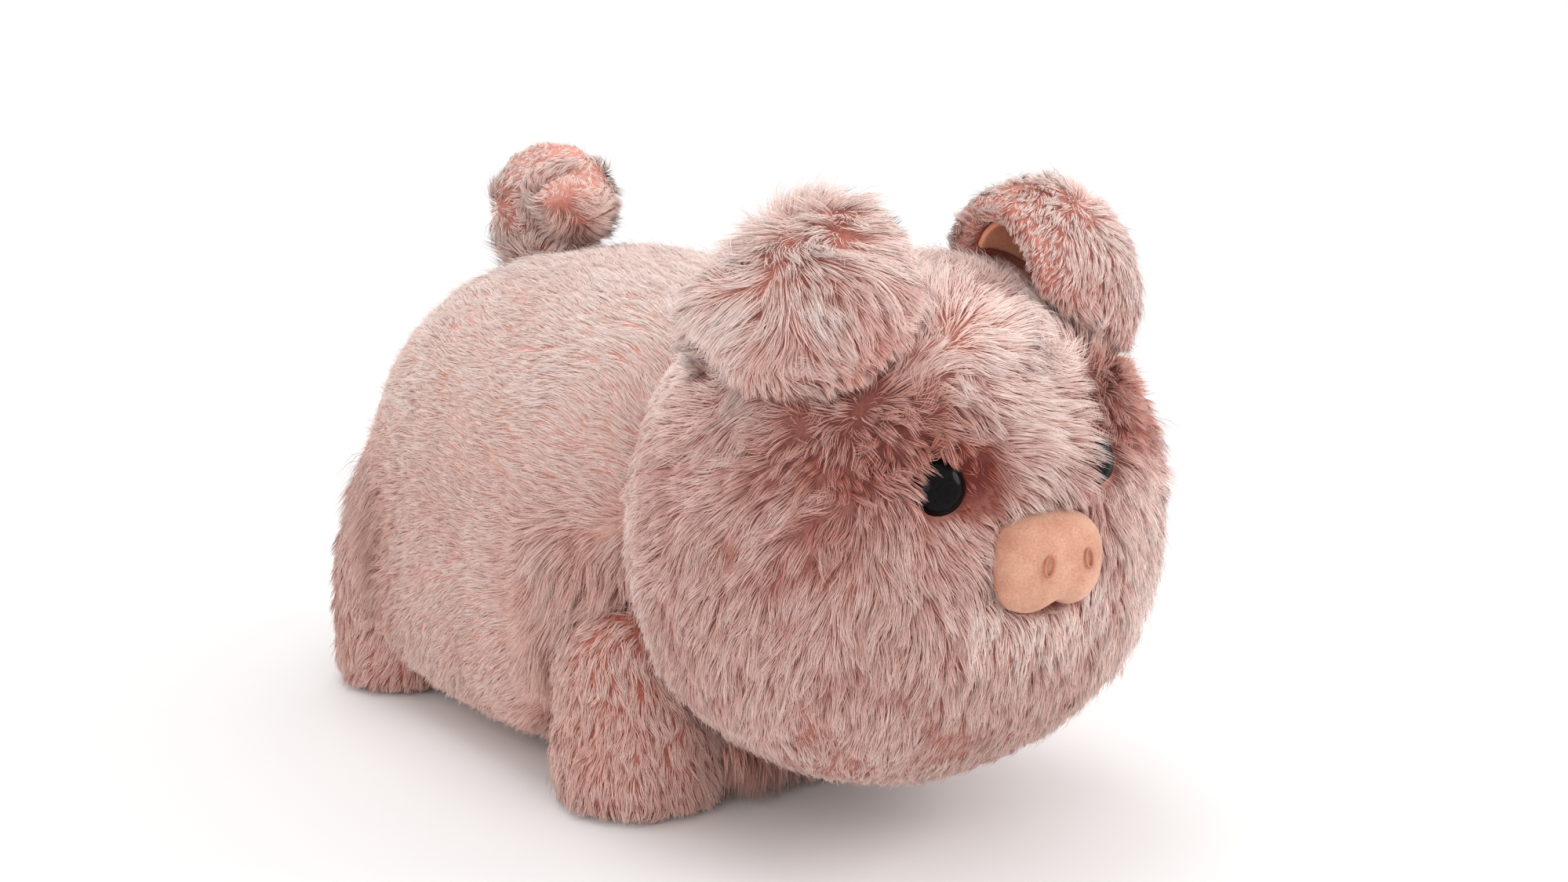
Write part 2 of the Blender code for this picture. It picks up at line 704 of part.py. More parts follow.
def eye_parts(side):
    seat, look = eye_place(side)
    suffix = "_left" if side > 0 else "_right"
    place = Matrix.Translation(seat + look * SEAM_GAP) @ along(look)
    outline = []
    for i in range(EYE_DOME_POINTS + 1):
        angle = math.pi / 2 * (1 - i / EYE_DOME_POINTS)
        height = EYE_RIM_HEIGHT + (EYE_DOME_HEIGHT - EYE_RIM_HEIGHT) * math.sin(angle)
        outline.append((EYE_RADIUS * math.cos(angle), height))
    outline[0] = (0, EYE_DOME_HEIGHT)
    outline += [
        (EYE_RADIUS, 0),
        (EYE_STEM_RADIUS, 0),
        (EYE_STEM_RADIUS, EYE_STEM_RADIUS - EYE_STEM_LENGTH),
        (0, -EYE_STEM_LENGTH),
    ]
    eye = turned_mesh(outline, EYE_STEPS, place, closed=False)
    finish_part("eye" + suffix, eye, GLOSS_BLACK)
    top = washer_depth()
    ring = [
        (WASHER_RADIUS, -top),
        (WASHER_RADIUS, -top - WASHER_THICKNESS),
        (EYE_STEM_RADIUS + SEAM_GAP, -top - WASHER_THICKNESS),
        (EYE_STEM_RADIUS + SEAM_GAP, -top),
    ]
    washer_place = Matrix.Translation(seat) @ along(look)
    washer = turned_mesh(ring, EYE_STEPS, washer_place, closed=True)
    finish_part("eye_washer" + suffix, washer, PLASTIC_WHITE)


def washer_depth():
    """How deep under the eye's seat its washer lies, just behind the cover."""
    return HEAD_COVER_THICKNESS - EYE_SEAT_DEPTH + 4 * SEAM_GAP


def eye_tools(side):
    """What the eye, its stem and its washer take away from the cover and the stuffing."""
    seat, look = eye_place(side)
    top = washer_depth()
    dome = cylinder_mesh(seat, look, EYE_RADIUS + 2 * SEAM_GAP, 0, OVERRUN, EYE_STEPS)
    hole_radius = EYE_STEM_RADIUS + 2 * SEAM_GAP
    hole_bottom = EYE_STEM_LENGTH + SEAM_GAP
    hole = cylinder_mesh(seat, look, hole_radius, -hole_bottom, OVERRUN, EYE_STEPS)
    pocket_radius = WASHER_RADIUS + 2 * SEAM_GAP
    floor = top + WASHER_THICKNESS + SEAM_GAP
    pocket = cylinder_mesh(seat, look, pocket_radius, -floor, SEAM_GAP - top, EYE_STEPS)
    return [
        tool_from("eye_seat", dome),
        tool_from("stem_hole", hole),
        tool_from("washer_pocket", pocket),
    ]


# Snout


def stitch_place(side):
    """A nostril's middle on the snout's face, and the way its face looks."""
    above = Vector((side * NOSTRIL_SIDEWAYS, -SNOUT_HALF_LENGTH, NOSTRIL_ABOVE_SNOUT))
    spot = snout_point(above.normalized(), 0)
    step = NOSTRIL_HALF_WIDTH
    right = snout_point((above + Vector((step, 0, 0))).normalized(), 0)
    left = snout_point((above - Vector((step, 0, 0))).normalized(), 0)
    upper = snout_point((above + Vector((0, 0, step))).normalized(), 0)
    lower = snout_point((above - Vector((0, 0, step))).normalized(), 0)
    look = (right - left).cross(upper - lower).normalized()
    return spot, look


def stitch_mesh(side, grow):
    """An upright oval ring of thread that leans a little outwards at the top."""
    spot, look = stitch_place(side)
    place = Matrix.Translation(spot + look * (STITCH_RADIUS - STITCH_SUNK))
    lean = Matrix.Rotation(math.radians(side * STITCH_LEAN_DEG), 4, "Z")
    bpy.ops.mesh.primitive_torus_add(
        major_segments=STITCH_SEGMENTS,
        minor_segments=STITCH_SIDES,
        major_radius=NOSTRIL_HALF_WIDTH,
        minor_radius=STITCH_RADIUS + grow,
    )
    ob = bpy.context.active_object
    mesh = ob.data.copy()
    bpy.data.objects.remove(ob, do_unlink=True)
    stretch = NOSTRIL_HALF_HEIGHT - NOSTRIL_HALF_WIDTH
    for vert in mesh.vertices:
        ring = math.hypot(vert.co.x, vert.co.y)
        vert.co.y += stretch * vert.co.y / ring
    mesh.transform(place @ along(look) @ lean)
    return mesh


def snout_parts():
    outside = form(snout_point, SNOUT_SEGMENTS, SNOUT_RINGS)
    thickness = SNOUT_COVER_THICKNESS
    hollow = tool_from("snout_hollow", form(snout_point, SNOUT_SEGMENTS, SNOUT_RINGS, thickness))
    grooves = [tool_from("stitch_groove", stitch_mesh(side, SEAM_GAP)) for side in (-1, 1)]
    reach = Vector((SNOUT_HALF_WIDTH, SNOUT_HALF_LENGTH, SNOUT_HALF_HEIGHT)) + Vector([OVERRUN] * 3)
    back = SNOUT_CENTRE.y + SNOUT_HALF_LENGTH - SNOUT_COVER_THICKNESS * 2
    low = (-reach.x, back, SNOUT_CENTRE.z - reach.z)
    high = (reach.x, SNOUT_CENTRE.y + reach.y, SNOUT_CENTRE.z + reach.z)
    behind = box_tool("snout_back", low, high)
    cover = carved("snout_cover", outside, cut=[hollow, behind, *grooves])
    finish_part("snout_cover", cover, VELOUR_PEACH)
    core = form(snout_point, SNOUT_SEGMENTS, SNOUT_RINGS, thickness + SEAM_GAP)
    finish_part("snout_stuffing", carved("core", core, cut=[behind]), FIBRE_WHITE)
    finish_part("nostril_stitch_left", stitch_mesh(1, 0), THREAD_PEACH)
    finish_part("nostril_stitch_right", stitch_mesh(-1, 0), THREAD_PEACH)


# Head


def head_parts():
    """The head's three cover panels and its stuffing, round the snout, eyes, ears and neck."""
    bowl = tool_from("neck_bowl", sphere_mesh(NECK_PIVOT, NECK_RADIUS + JOINT_GAP, NECK_SEGMENTS))
    room = tool_from("snout_room", form(snout_point, SNOUT_SEGMENTS, SNOUT_RINGS, -2 * SEAM_GAP))
    cut = [bowl, room, *eye_tools(1), *eye_tools(-1), ear_groove(1), ear_groove(-1)]
    outside = form(head_point, HEAD_SEGMENTS, HEAD_RINGS)
    thickness = HEAD_COVER_THICKNESS
    hollow = tool_from("head_hollow", form(head_point, CORE_SEGMENTS, CORE_RINGS, thickness))
    seam_z = SNOUT_CENTRE.z + SNOUT_HALF_HEIGHT + CROWN_STRIP_ABOVE_SNOUT
    strip = CROWN_STRIP_HALF_WIDTH
    crown = sliced(
        outside,
        [((strip, 0, 0), RIGHTWARD), ((-strip, 0, 0), -RIGHTWARD), ((0, 0, seam_z), -UPWARD)],
    )
    crown = carved("panel", crown, cut=[hollow, *cut])
    finish_part("head_crown_panel", crown, PILE_BEIGE, NECK_PIVOT)
    wide = strip + SEAM_GAP
    reach = Vector((wide, HEAD_HALF_LENGTH + OVERRUN, HEAD_HALF_HEIGHT + OVERRUN))
    low = (-wide, HEAD_Y - reach.y, seam_z - SEAM_GAP)
    crown_room = box_tool("crown_room", low, HEAD_CENTRE + reach)
    for name, way in (("head_side_left", RIGHTWARD), ("head_side_right", -RIGHTWARD)):
        half = sliced(outside, [(way * SEAM_GAP / 2, -way)])
        side = carved("panel", half, cut=[crown_room, hollow, *cut])
        finish_part(name, side, PILE_ROSE, NECK_PIVOT)
    core = form(head_point, CORE_SEGMENTS, CORE_RINGS, thickness + SEAM_GAP)
    finish_part("head_stuffing", carved("core", core, cut=cut), FIBRE_WHITE, NECK_PIVOT)


# Body


def body_parts():
    """The body's two flank panels, its belly panel and its stuffing, with legs, neck and tail."""
    middle = [nod_room_tool(), tail_socket()]
    sockets = {}
    for side in (1, -1):
        front = leg_socket(side, FRONT_LEG_Y, FRONT_LEG_RADIUS)
        rear = leg_socket(side, REAR_LEG_Y, REAR_LEG_RADIUS)
        sockets[side] = [front, rear]
    cut = middle + sockets[1] + sockets[-1]
    outside = form(body_point, BODY_SEGMENTS, BODY_RINGS)
    thickness = BODY_COVER_THICKNESS
    hollow = tool_from("body_hollow", form(body_point, CORE_SEGMENTS, CORE_RINGS, thickness))
    seam = UPWARD * BELLY_SEAM_ABOVE_FLOOR
    for name, side in (("body_side_left", 1), ("body_side_right", -1)):
        way = RIGHTWARD * side
        above = sliced(outside, [(way * SEAM_GAP / 2, -way), (seam + UPWARD * SEAM_GAP, -UPWARD)])
        panel = carved("panel", above, cut=[hollow, *middle, *sockets[side]])
        finish_part(name, panel, PILE_ROSE)
    under = sliced(outside, [(seam, UPWARD)])
    finish_part("belly_panel", carved("panel", under, cut=[hollow, *cut]), PILE_BEIGE)
    core = form(body_point, CORE_SEGMENTS, CORE_RINGS, thickness + SEAM_GAP)
    finish_part("body_stuffing", carved("core", core, cut=cut), FIBRE_WHITE)


body_parts()
head_parts()
snout_parts()
tail_parts()
for side in (1, -1):
    leg_parts(side, "front", FRONT_LEG_Y, FRONT_LEG_RADIUS)
    leg_parts(side, "rear", REAR_LEG_Y, REAR_LEG_RADIUS)
    ear_parts(side)
    eye_parts(side)
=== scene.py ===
import math

import bmesh
import bpy
import numpy as np
from mathutils import Matrix, Vector, kdtree
from mathutils.bvhtree import BVHTree


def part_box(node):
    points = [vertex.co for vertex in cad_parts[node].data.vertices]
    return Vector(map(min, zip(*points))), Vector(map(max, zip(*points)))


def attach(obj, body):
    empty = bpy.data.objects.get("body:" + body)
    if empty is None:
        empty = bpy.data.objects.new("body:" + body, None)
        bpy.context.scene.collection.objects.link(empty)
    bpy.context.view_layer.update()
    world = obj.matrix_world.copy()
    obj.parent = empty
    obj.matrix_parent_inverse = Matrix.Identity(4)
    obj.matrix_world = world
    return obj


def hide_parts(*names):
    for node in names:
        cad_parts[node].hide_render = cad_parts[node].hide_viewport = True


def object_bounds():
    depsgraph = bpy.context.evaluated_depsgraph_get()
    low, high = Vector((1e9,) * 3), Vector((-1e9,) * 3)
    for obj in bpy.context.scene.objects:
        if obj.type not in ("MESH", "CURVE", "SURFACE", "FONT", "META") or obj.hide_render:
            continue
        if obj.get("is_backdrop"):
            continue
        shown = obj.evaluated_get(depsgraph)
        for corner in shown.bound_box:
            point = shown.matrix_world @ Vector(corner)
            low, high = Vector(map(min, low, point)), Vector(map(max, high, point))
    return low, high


# A plush pig: skins made from the CAD panels, and on them a pile of real strands, combed as the
# photograph shows. Velour snout and ear linings, satin-stitched nostrils, glossy domed eyes.
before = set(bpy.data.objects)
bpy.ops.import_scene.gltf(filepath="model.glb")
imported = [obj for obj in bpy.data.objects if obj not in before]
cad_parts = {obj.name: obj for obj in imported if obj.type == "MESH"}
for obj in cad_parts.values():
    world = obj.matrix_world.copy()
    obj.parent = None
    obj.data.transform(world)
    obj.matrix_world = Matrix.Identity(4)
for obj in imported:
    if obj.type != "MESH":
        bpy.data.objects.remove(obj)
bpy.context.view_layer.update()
scene = bpy.context.scene
SHARE = 1.0

# Places and sizes of the CAD, in metres. The powers say how square a rounded box is, 2 for an
# ellipse, and the fullness how far it is drawn out below.
BODY_CENTRE = np.array((0, 0.050417, 0.0805))
BODY_HALVES = np.array((0.0765, 0.107, 0.0765))
BODY_PLAN_POWER, BODY_UPPER_POWER, BODY_LOWER_POWER = 2.8, 2.5, 5.0
REAR_FULLNESS, FRONT_FULLNESS, SIDE_FULLNESS = 0.21, 0.14, 0.05
HEAD_CENTRE = np.array((0, -0.086583, 0.0968))
HEAD_HALVES = np.array((0.0800, 0.067, 0.0778))
HEAD_PLAN_POWER, HEAD_SIDE_POWER = 2.3, 2.2
SNOUT_CENTRE = np.array((0, -0.153083, 0.0988))
SNOUT_HALVES = np.array((0.0192, 0.0125, 0.0150))
SNOUT_POWER = 2.5
CLEFT_HALF_WIDTH, CLEFT_SHARE = 0.0055, 0.26
NECK_PIVOT = np.array((0, 0.012417, 0.0918))
NECK_RADIUS = 0.060
EYE_OFFSET = np.array((0.0305, -0.0560, 0.0260))
EYE_DIMPLE_DEPTH, EYE_DIMPLE_ANGLE = 0.0055, math.radians(24)
EYE_SUNK = 0.0007
LEGS = {
    "front_left": (0.054, -0.025083, 0.0250),
    "front_right": (-0.054, -0.025083, 0.0250),
    "rear_left": (0.054, 0.126417, 0.0225),
    "rear_right": (-0.054, 0.126417, 0.0225),
}
HIP = 0.046
TAIL_ROOT = np.array((0, 0.106271, 0.147947))

# Round forms that strands lie on, and how far off them the tips stay
EYE_FORM_RADIUS, EYE_FORM_SUNK, EYE_MARGIN = 0.0088, 0.0018, 0.0004
HIP_MARGIN = 0.0034

# Marks in the head's pile: a whorl over each eye, and the way to the hollow at the eye's inner
# corner, where shade is painted dark
WHORL = np.array((0.043, -0.126, 0.136))
HOLLOW_WAY = np.array((0.0215, -0.0600, 0.0290))


def linear(red, green, blue):
    """A screen colour, 0 to 255, as the renderer's own numbers."""
    return (*[((c / 255 + 0.055) / 1.055) ** 2.4 if c > 10 else c / 3295 for c in (red, green, blue)], 1)


def unit(v):
    return v / np.maximum(np.linalg.norm(v, axis=-1, keepdims=True), 1e-12)


def ramp(value, low, high):
    """0 below low, 1 above high and smooth between them. It also runs from high down to low."""
    t = np.clip((value - low) / (high - low), 0, 1)
    return t * t * (3 - 2 * t)


def dot(a, b):
    return (a * b).sum(-1)


# Forms of the CAD, as functions of a direction or a place


def reach(direction, halves, plan, side):
    """How far a rounded box reaches from its middle in each direction."""
    scaled = np.abs(direction / halves)
    flat = scaled[:, 0] ** plan + scaled[:, 1] ** plan
    return (flat ** (side / plan) + scaled[:, 2] ** side) ** (-1 / side)


def body_points(direction):
    side = np.where(direction[:, 2] > 0, BODY_UPPER_POWER, BODY_LOWER_POWER)
    point = direction * reach(direction, BODY_HALVES, BODY_PLAN_POWER, side)[:, None]
    low = -point[:, 2] / BODY_HALVES[2]
    fullness = np.where(point[:, 1] > 0, REAR_FULLNESS, FRONT_FULLNESS)
    point[:, 0] *= 1 + SIDE_FULLNESS * low
    point[:, 1] *= 1 + fullness * low * np.abs(point[:, 1]) / BODY_HALVES[1]
    return BODY_CENTRE + point


def head_points(direction):
    length = reach(direction, HEAD_HALVES, HEAD_PLAN_POWER, HEAD_SIDE_POWER)
    for side in (-1, 1):
        eye = unit(EYE_OFFSET * (side, 1, 1))
        angle = np.arccos(np.clip(dot(direction, eye), -1, 1))
        dimple = 0.5 + 0.5 * np.cos(np.pi * np.minimum(angle / EYE_DIMPLE_ANGLE, 1))
        length = length - EYE_DIMPLE_DEPTH * dimple
    point = direction * length[:, None]
    low = -point[:, 2] / HEAD_HALVES[2]
    point[:, 0] *= 1 + SIDE_FULLNESS * low * (1 - np.abs(low))
    return HEAD_CENTRE + point


def snout_points(direction):
    point = direction * reach(direction, SNOUT_HALVES, SNOUT_POWER, SNOUT_POWER)[:, None]
    middle = np.exp(-((point[:, 0] / CLEFT_HALF_WIDTH) ** 2))
    lower = np.maximum(-point[:, 2], 0) / SNOUT_HALVES[2]
    point[:, 2] *= 1 - CLEFT_SHARE * middle * lower
    return SNOUT_CENTRE + point


def body_depth(places):
    """How far places lie outside the body's skin, below 0 inside it."""
    q = places - BODY_CENTRE
    low = -q[:, 2] / BODY_HALVES[2]
    fullness = np.where(q[:, 1] > 0, REAR_FULLNESS, FRONT_FULLNESS) * low / BODY_HALVES[1]
    y = np.abs(q[:, 1])
    y = y / (1 + fullness * y / (1 + fullness * y))
    q = np.stack((q[:, 0] / (1 + SIDE_FULLNESS * low), y, q[:, 2]), 1)
    side = np.where(q[:, 2] > 0, BODY_UPPER_POWER, BODY_LOWER_POWER)
    return np.linalg.norm(q, axis=1) - reach(unit(q), BODY_HALVES, BODY_PLAN_POWER, side)


def head_depth(places):
    q = places - HEAD_CENTRE
    return np.linalg.norm(q, axis=1) - reach(unit(q), HEAD_HALVES, HEAD_PLAN_POWER, HEAD_SIDE_POWER)


def snout_depth(places):
    q = places - SNOUT_CENTRE
    return np.linalg.norm(q, axis=1) - reach(unit(q), SNOUT_HALVES, SNOUT_POWER, SNOUT_POWER)


def eye_seat(side):
    """Where an eye's back lies on the head, and the way that the eye looks."""
    look = unit(EYE_OFFSET * (side, 1, 1))
    return head_points(look[None])[0] - look * EYE_SUNK, look


def ball(middle, radius, margin):
    """A ball as a form that strands lie on: its depth, its middle and the tips' margin."""
    return lambda places: np.linalg.norm(places - middle, axis=1) - radius, middle, margin


def eye_form(side):
    seat, look = eye_seat(side)
    return ball(seat - look * EYE_FORM_SUNK, EYE_FORM_RADIUS, EYE_MARGIN)


def hip_form(leg):
    x, y, radius = LEGS[leg]
    return ball(np.array((x, y, HIP)), radius, HIP_MARGIN)


NOISE_CELLS, NOISE_SHIFT = 32, 1000


def noise(places, cell, seed):
    """Smooth random vectors, about -1 to 1, that change over about one cell."""
    table = np.random.default_rng(seed).uniform(-1, 1, (NOISE_CELLS, NOISE_CELLS, NOISE_CELLS, 3))
    q = places / cell + NOISE_SHIFT
    i = np.floor(q).astype(int)
    f = q - i
    f = f * f * (3 - 2 * f)
    total = np.zeros((len(places), 3))
    for corner in np.ndindex(2, 2, 2):
        weight = np.prod(np.where(corner, f, 1 - f), axis=1)
        at = (i + corner) % NOISE_CELLS
        total += weight[:, None] * table[at[:, 0], at[:, 1], at[:, 2]]
    return total


def patches(places, cell, seed):
    """Smooth random values, about -1 to 1."""
    return noise(places, cell, seed)[:, 0]


def nearest(places, targets):
    """How far each place is from the nearest target."""
    return np.min([np.linalg.norm(places - target, axis=1) for target in targets], axis=0)


# Meshes

FORM_SEGMENTS, FORM_RINGS = 160, 80
MERGE = 1e-5
SNAP_REACH = 0.0024


def coordinates(mesh):
    co = np.empty(len(mesh.vertices) * 3, np.float32)
    mesh.vertices.foreach_get("co", co)
    return co.reshape(-1, 3).astype(float)


def set_coordinates(mesh, co):
    mesh.vertices.foreach_set("co", co.astype(np.float32).ravel())
    mesh.update()


def vertex_normals(mesh):
    normals = np.empty(len(mesh.vertices) * 3, np.float32)
    mesh.vertex_normals.foreach_get("vector", normals)
    return normals.reshape(-1, 3).astype(float)


def add(name, mesh):
    mesh.name = name
    ob = bpy.data.objects.new(name, mesh)
    scene.collection.objects.link(ob)
    return ob


def form(place, segments, rings):
    """A closed round form as a mesh."""
    bm = bmesh.new()
    turn = Matrix.Rotation(math.pi / 2, 4, "Y")
    bmesh.ops.create_uvsphere(bm, u_segments=segments, v_segments=rings, radius=1, matrix=turn)
    mesh = bpy.data.meshes.new("form")
    bm.to_mesh(mesh)
    bm.free()
    set_coordinates(mesh, place(unit(coordinates(mesh))))
    return mesh


def smoothed(mesh, rounds):
    """Moves each vertex halfway to the middle of its neighbours, some rounds over."""
    edges = np.empty(len(mesh.edges) * 2, np.int32)
    mesh.edges.foreach_get("vertices", edges)
    edges = edges.reshape(-1, 2)
    co = coordinates(mesh)
    near = np.concatenate((edges, edges[:, ::-1]))
    count = np.maximum(np.bincount(near[:, 0], minlength=len(co)), 1)
    for _ in range(rounds):
        middle = np.stack(
            [np.bincount(near[:, 0], co[near[:, 1], k], len(co)) / count for k in range(3)], 1
        )
        co = (co + middle) / 2
    set_coordinates(mesh, co)


def largest_part(bm):
    """Leaves only the largest connected part of a mesh."""
    seen, best = set(), []
    for start in bm.verts:
        if start in seen:
            continue
        part, waiting = [start], [start]
        seen.add(start)
        while waiting:
            for edge in waiting.pop().link_edges:
                for vert in edge.verts:
                    if vert not in seen:
                        seen.add(vert)
                        part.append(vert)
                        waiting.append(vert)
        if len(part) > len(best):
            best = part
    kept = set(best)
    bmesh.ops.delete(bm, geom=[v for v in bm.verts if v not in kept], context="VERTS")


def skin(name, nodes, voxel, rounds, place=None):
    """One closed soft piece where CAD nodes are: their meshes in one, without their facets. A
    place function says which smooth form the piece is drawn to."""
    bm = bmesh.new()
    for node in nodes:
        bm.from_mesh(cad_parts[node].data)
    bmesh.ops.remove_doubles(bm, verts=bm.verts, dist=MERGE)
    mesh = bpy.data.meshes.new(name)
    bm.to_mesh(mesh)
    bm.free()
    rough = add("rough", mesh)
    remesh = rough.modifiers.new("remesh", "REMESH")
    remesh.mode = "VOXEL"
    remesh.voxel_size = voxel
    graph = bpy.context.evaluated_depsgraph_get()
    mesh = bpy.data.meshes.new_from_object(rough.evaluated_get(graph))
    bpy.data.objects.remove(rough)
    bm = bmesh.new()
    bm.from_mesh(mesh)
    largest_part(bm)
    bm.to_mesh(mesh)
    bm.free()
    if place is not None:
        target = BVHTree.FromPolygons(*polygons(form(place, FORM_SEGMENTS, FORM_RINGS)))
        co = coordinates(mesh)
        for i, point in enumerate(co):
            near = target.find_nearest(Vector(point), SNAP_REACH)[0]
            if near is not None:
                co[i] = near
        set_coordinates(mesh, co)
    smoothed(mesh, rounds)
    mesh.materials.clear()
    mesh.shade_smooth()
    ob = add(name, mesh)
    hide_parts(*nodes)
    return ob


def polygons(mesh):
    """Vertices and faces, as the search tree takes them."""
    return [v.co.copy() for v in mesh.vertices], [tuple(p.vertices) for p in mesh.polygons]


def scattered(mesh, per_mm2, seed):
    """Places spread evenly over a mesh, with its smooth normals."""
    rng = np.random.default_rng(seed)
    co = coordinates(mesh)
    normals = vertex_normals(mesh)
    mesh.calc_loop_triangles()
    tris = np.empty(len(mesh.loop_triangles) * 3, np.int32)
    mesh.loop_triangles.foreach_get("vertices", tris)
    tris = tris.reshape(-1, 3)
    a, b, c = (co[tris[:, k]] for k in range(3))
    area = np.linalg.norm(np.cross(b - a, c - a), axis=1) / 2
    count = int(area.sum() * 1e6 * per_mm2 * SHARE)
    pick = rng.choice(len(tris), count, p=area / area.sum())
    u, v = rng.random((2, count, 1))
    over = u + v > 1
    u, v = np.where(over, 1 - u, u), np.where(over, 1 - v, v)
    w = 1 - u - v
    tris = tris[pick]
    place = co[tris[:, 0]] * w + co[tris[:, 1]] * u + co[tris[:, 2]] * v
    normal = normals[tris[:, 0]] * w + normals[tris[:, 1]] * u + normals[tris[:, 2]] * v
    return place, unit(normal)


# Pile: each strand is a closed, slender spindle of three sides that bends at its rings. The
# numbers say how much tufts and single strands differ, in lean, rise, length and tone.

ROOT_SUNK = 0.0006
TUFT_LEAN, STRAND_LEAN = 0.20, 0.11
TUFT_RISE, STRAND_RISE = 0.10, 0.08
TUFT_REACH = 0.10
TUFT_TONE, STRAND_TONE = 0.05, 0.05
SWAY_CELL, SWAY = 0.006, 0.7
WISP_SHARE, WISP_REACH, WISP_RISE, WISP_WIDTH = 0.05, 1.3, 0.22, 0.7
WIDTH_SHARES = (0.75, 1.2)
PULL_POWER = 1.6
FLOOR_GAP, FLOOR_SPREAD = 0.0004, 0.0006
FOOT_HEIGHT = 0.006
SIDES = 3
SLIMNESS_SHARES = {1: (1.0,), 2: (1.0, 0.75)}
ROUNDNESS = 0.20
MAP_INSETS = (0.1, 0.01)
MOST_TRIANGLES = 190_000
TONE_STEPS = 128


def tufts(places, strands_each, seed):
    """The number of the tuft that each strand belongs to."""
    rng = np.random.default_rng(seed)
    count = max(len(places) // strands_each, 1)
    centres = places[rng.choice(len(places), count, replace=False)]
    tree = kdtree.KDTree(count)
    for i, centre in enumerate(centres):
        tree.insert(centre, i)
    tree.balance()
    return np.array([tree.find(place)[1] for place in places])


def pile(root, normal, lay, length, tone, *, width, lifts, rings, tuft, pull, wild=1.0, clear=(), seed=1):
    """Strands on a surface. lay is the way they are combed, lifts their slope at root and tip,
    pull how far the tips of a tuft draw together, wild how far each tuft leans, rises and reaches
    in its own way, and clear the forms that the strands lie on. A few strands stand out as wisps."""
    rng = np.random.default_rng(seed)
    count = len(root)
    group = tufts(root, tuft, seed + 1)
    size = np.bincount(group)
    own = np.clip(rng.normal(0, 1, (len(size), 6)), -2, 2)[group]
    lay = unit(lay - normal * dot(lay, normal)[:, None])
    wild = np.broadcast_to(wild, count)
    lay = lay + own[:, :3] * TUFT_LEAN * wild[:, None] + rng.normal(0, STRAND_LEAN, (count, 3))
    sway = noise(root, SWAY_CELL, seed + 2) * SWAY * wild[:, None]
    wisp = rng.random(count) < WISP_SHARE
    length = length * (1 + TUFT_REACH * own[:, 3] * wild) * np.where(wisp, WISP_REACH, 1)
    spread = own[:, 4] * TUFT_RISE * wild + rng.normal(0, STRAND_RISE, count) + WISP_RISE * wisp
    steps = rings + 1
    line = [root - normal * ROOT_SUNK]
    point = root
    for step in range(steps):
        share = (step + 0.5) / steps
        way = lay + sway * share
        way = unit(way - normal * dot(way, normal)[:, None])
        lift = lifts[0] + (lifts[1] - lifts[0]) * share + spread
        point = point + (normal * np.sin(lift)[:, None] + way * np.cos(lift)[:, None]) * (
            length / steps
        )[:, None]
        line.append(point)
    for step in range(1, steps + 1):
        middle = np.stack(
            [np.bincount(group, line[step][:, k], len(size)) / np.maximum(size, 1) for k in range(3)], 1
        )
        share = (step / steps) ** PULL_POWER * pull
        line[step] = line[step] + (middle[group] - line[step]) * np.reshape(share, (-1, 1))
        for depth, away, margin in clear:
            short = np.maximum(margin * step / steps - depth(line[step]), 0)
            line[step] = line[step] + unit(line[step] - away) * short[:, None]
        line[step][:, 2] = np.maximum(line[step][:, 2], FLOOR_GAP + FLOOR_SPREAD * rng.random(count))
    line[0][:, 2] = np.maximum(line[0][:, 2], FLOOR_GAP)
    return {
        "line": np.stack(line, 1),
        "normal": normal,
        "tone": np.clip(tone + TUFT_TONE * own[:, 5] + rng.normal(0, STRAND_TONE, count), 0, 1),
        "width": width * rng.uniform(*WIDTH_SHARES, count) * np.where(wisp, WISP_WIDTH, 1),
        "turn": rng.uniform(0, math.tau, count),
        "rings": rings,
    }


def plump(ob, thickness):
    """Moves a skin out to where its pile closes, so that no black gap opens between tufts. What is
    low stays off the floor."""
    co = coordinates(ob.data)
    moved = co + vertex_normals(ob.data) * np.reshape(thickness, (-1, 1))
    moved[:, 2] = np.maximum(moved[:, 2], np.minimum(co[:, 2], FOOT_HEIGHT))
    set_coordinates(ob.data, moved)


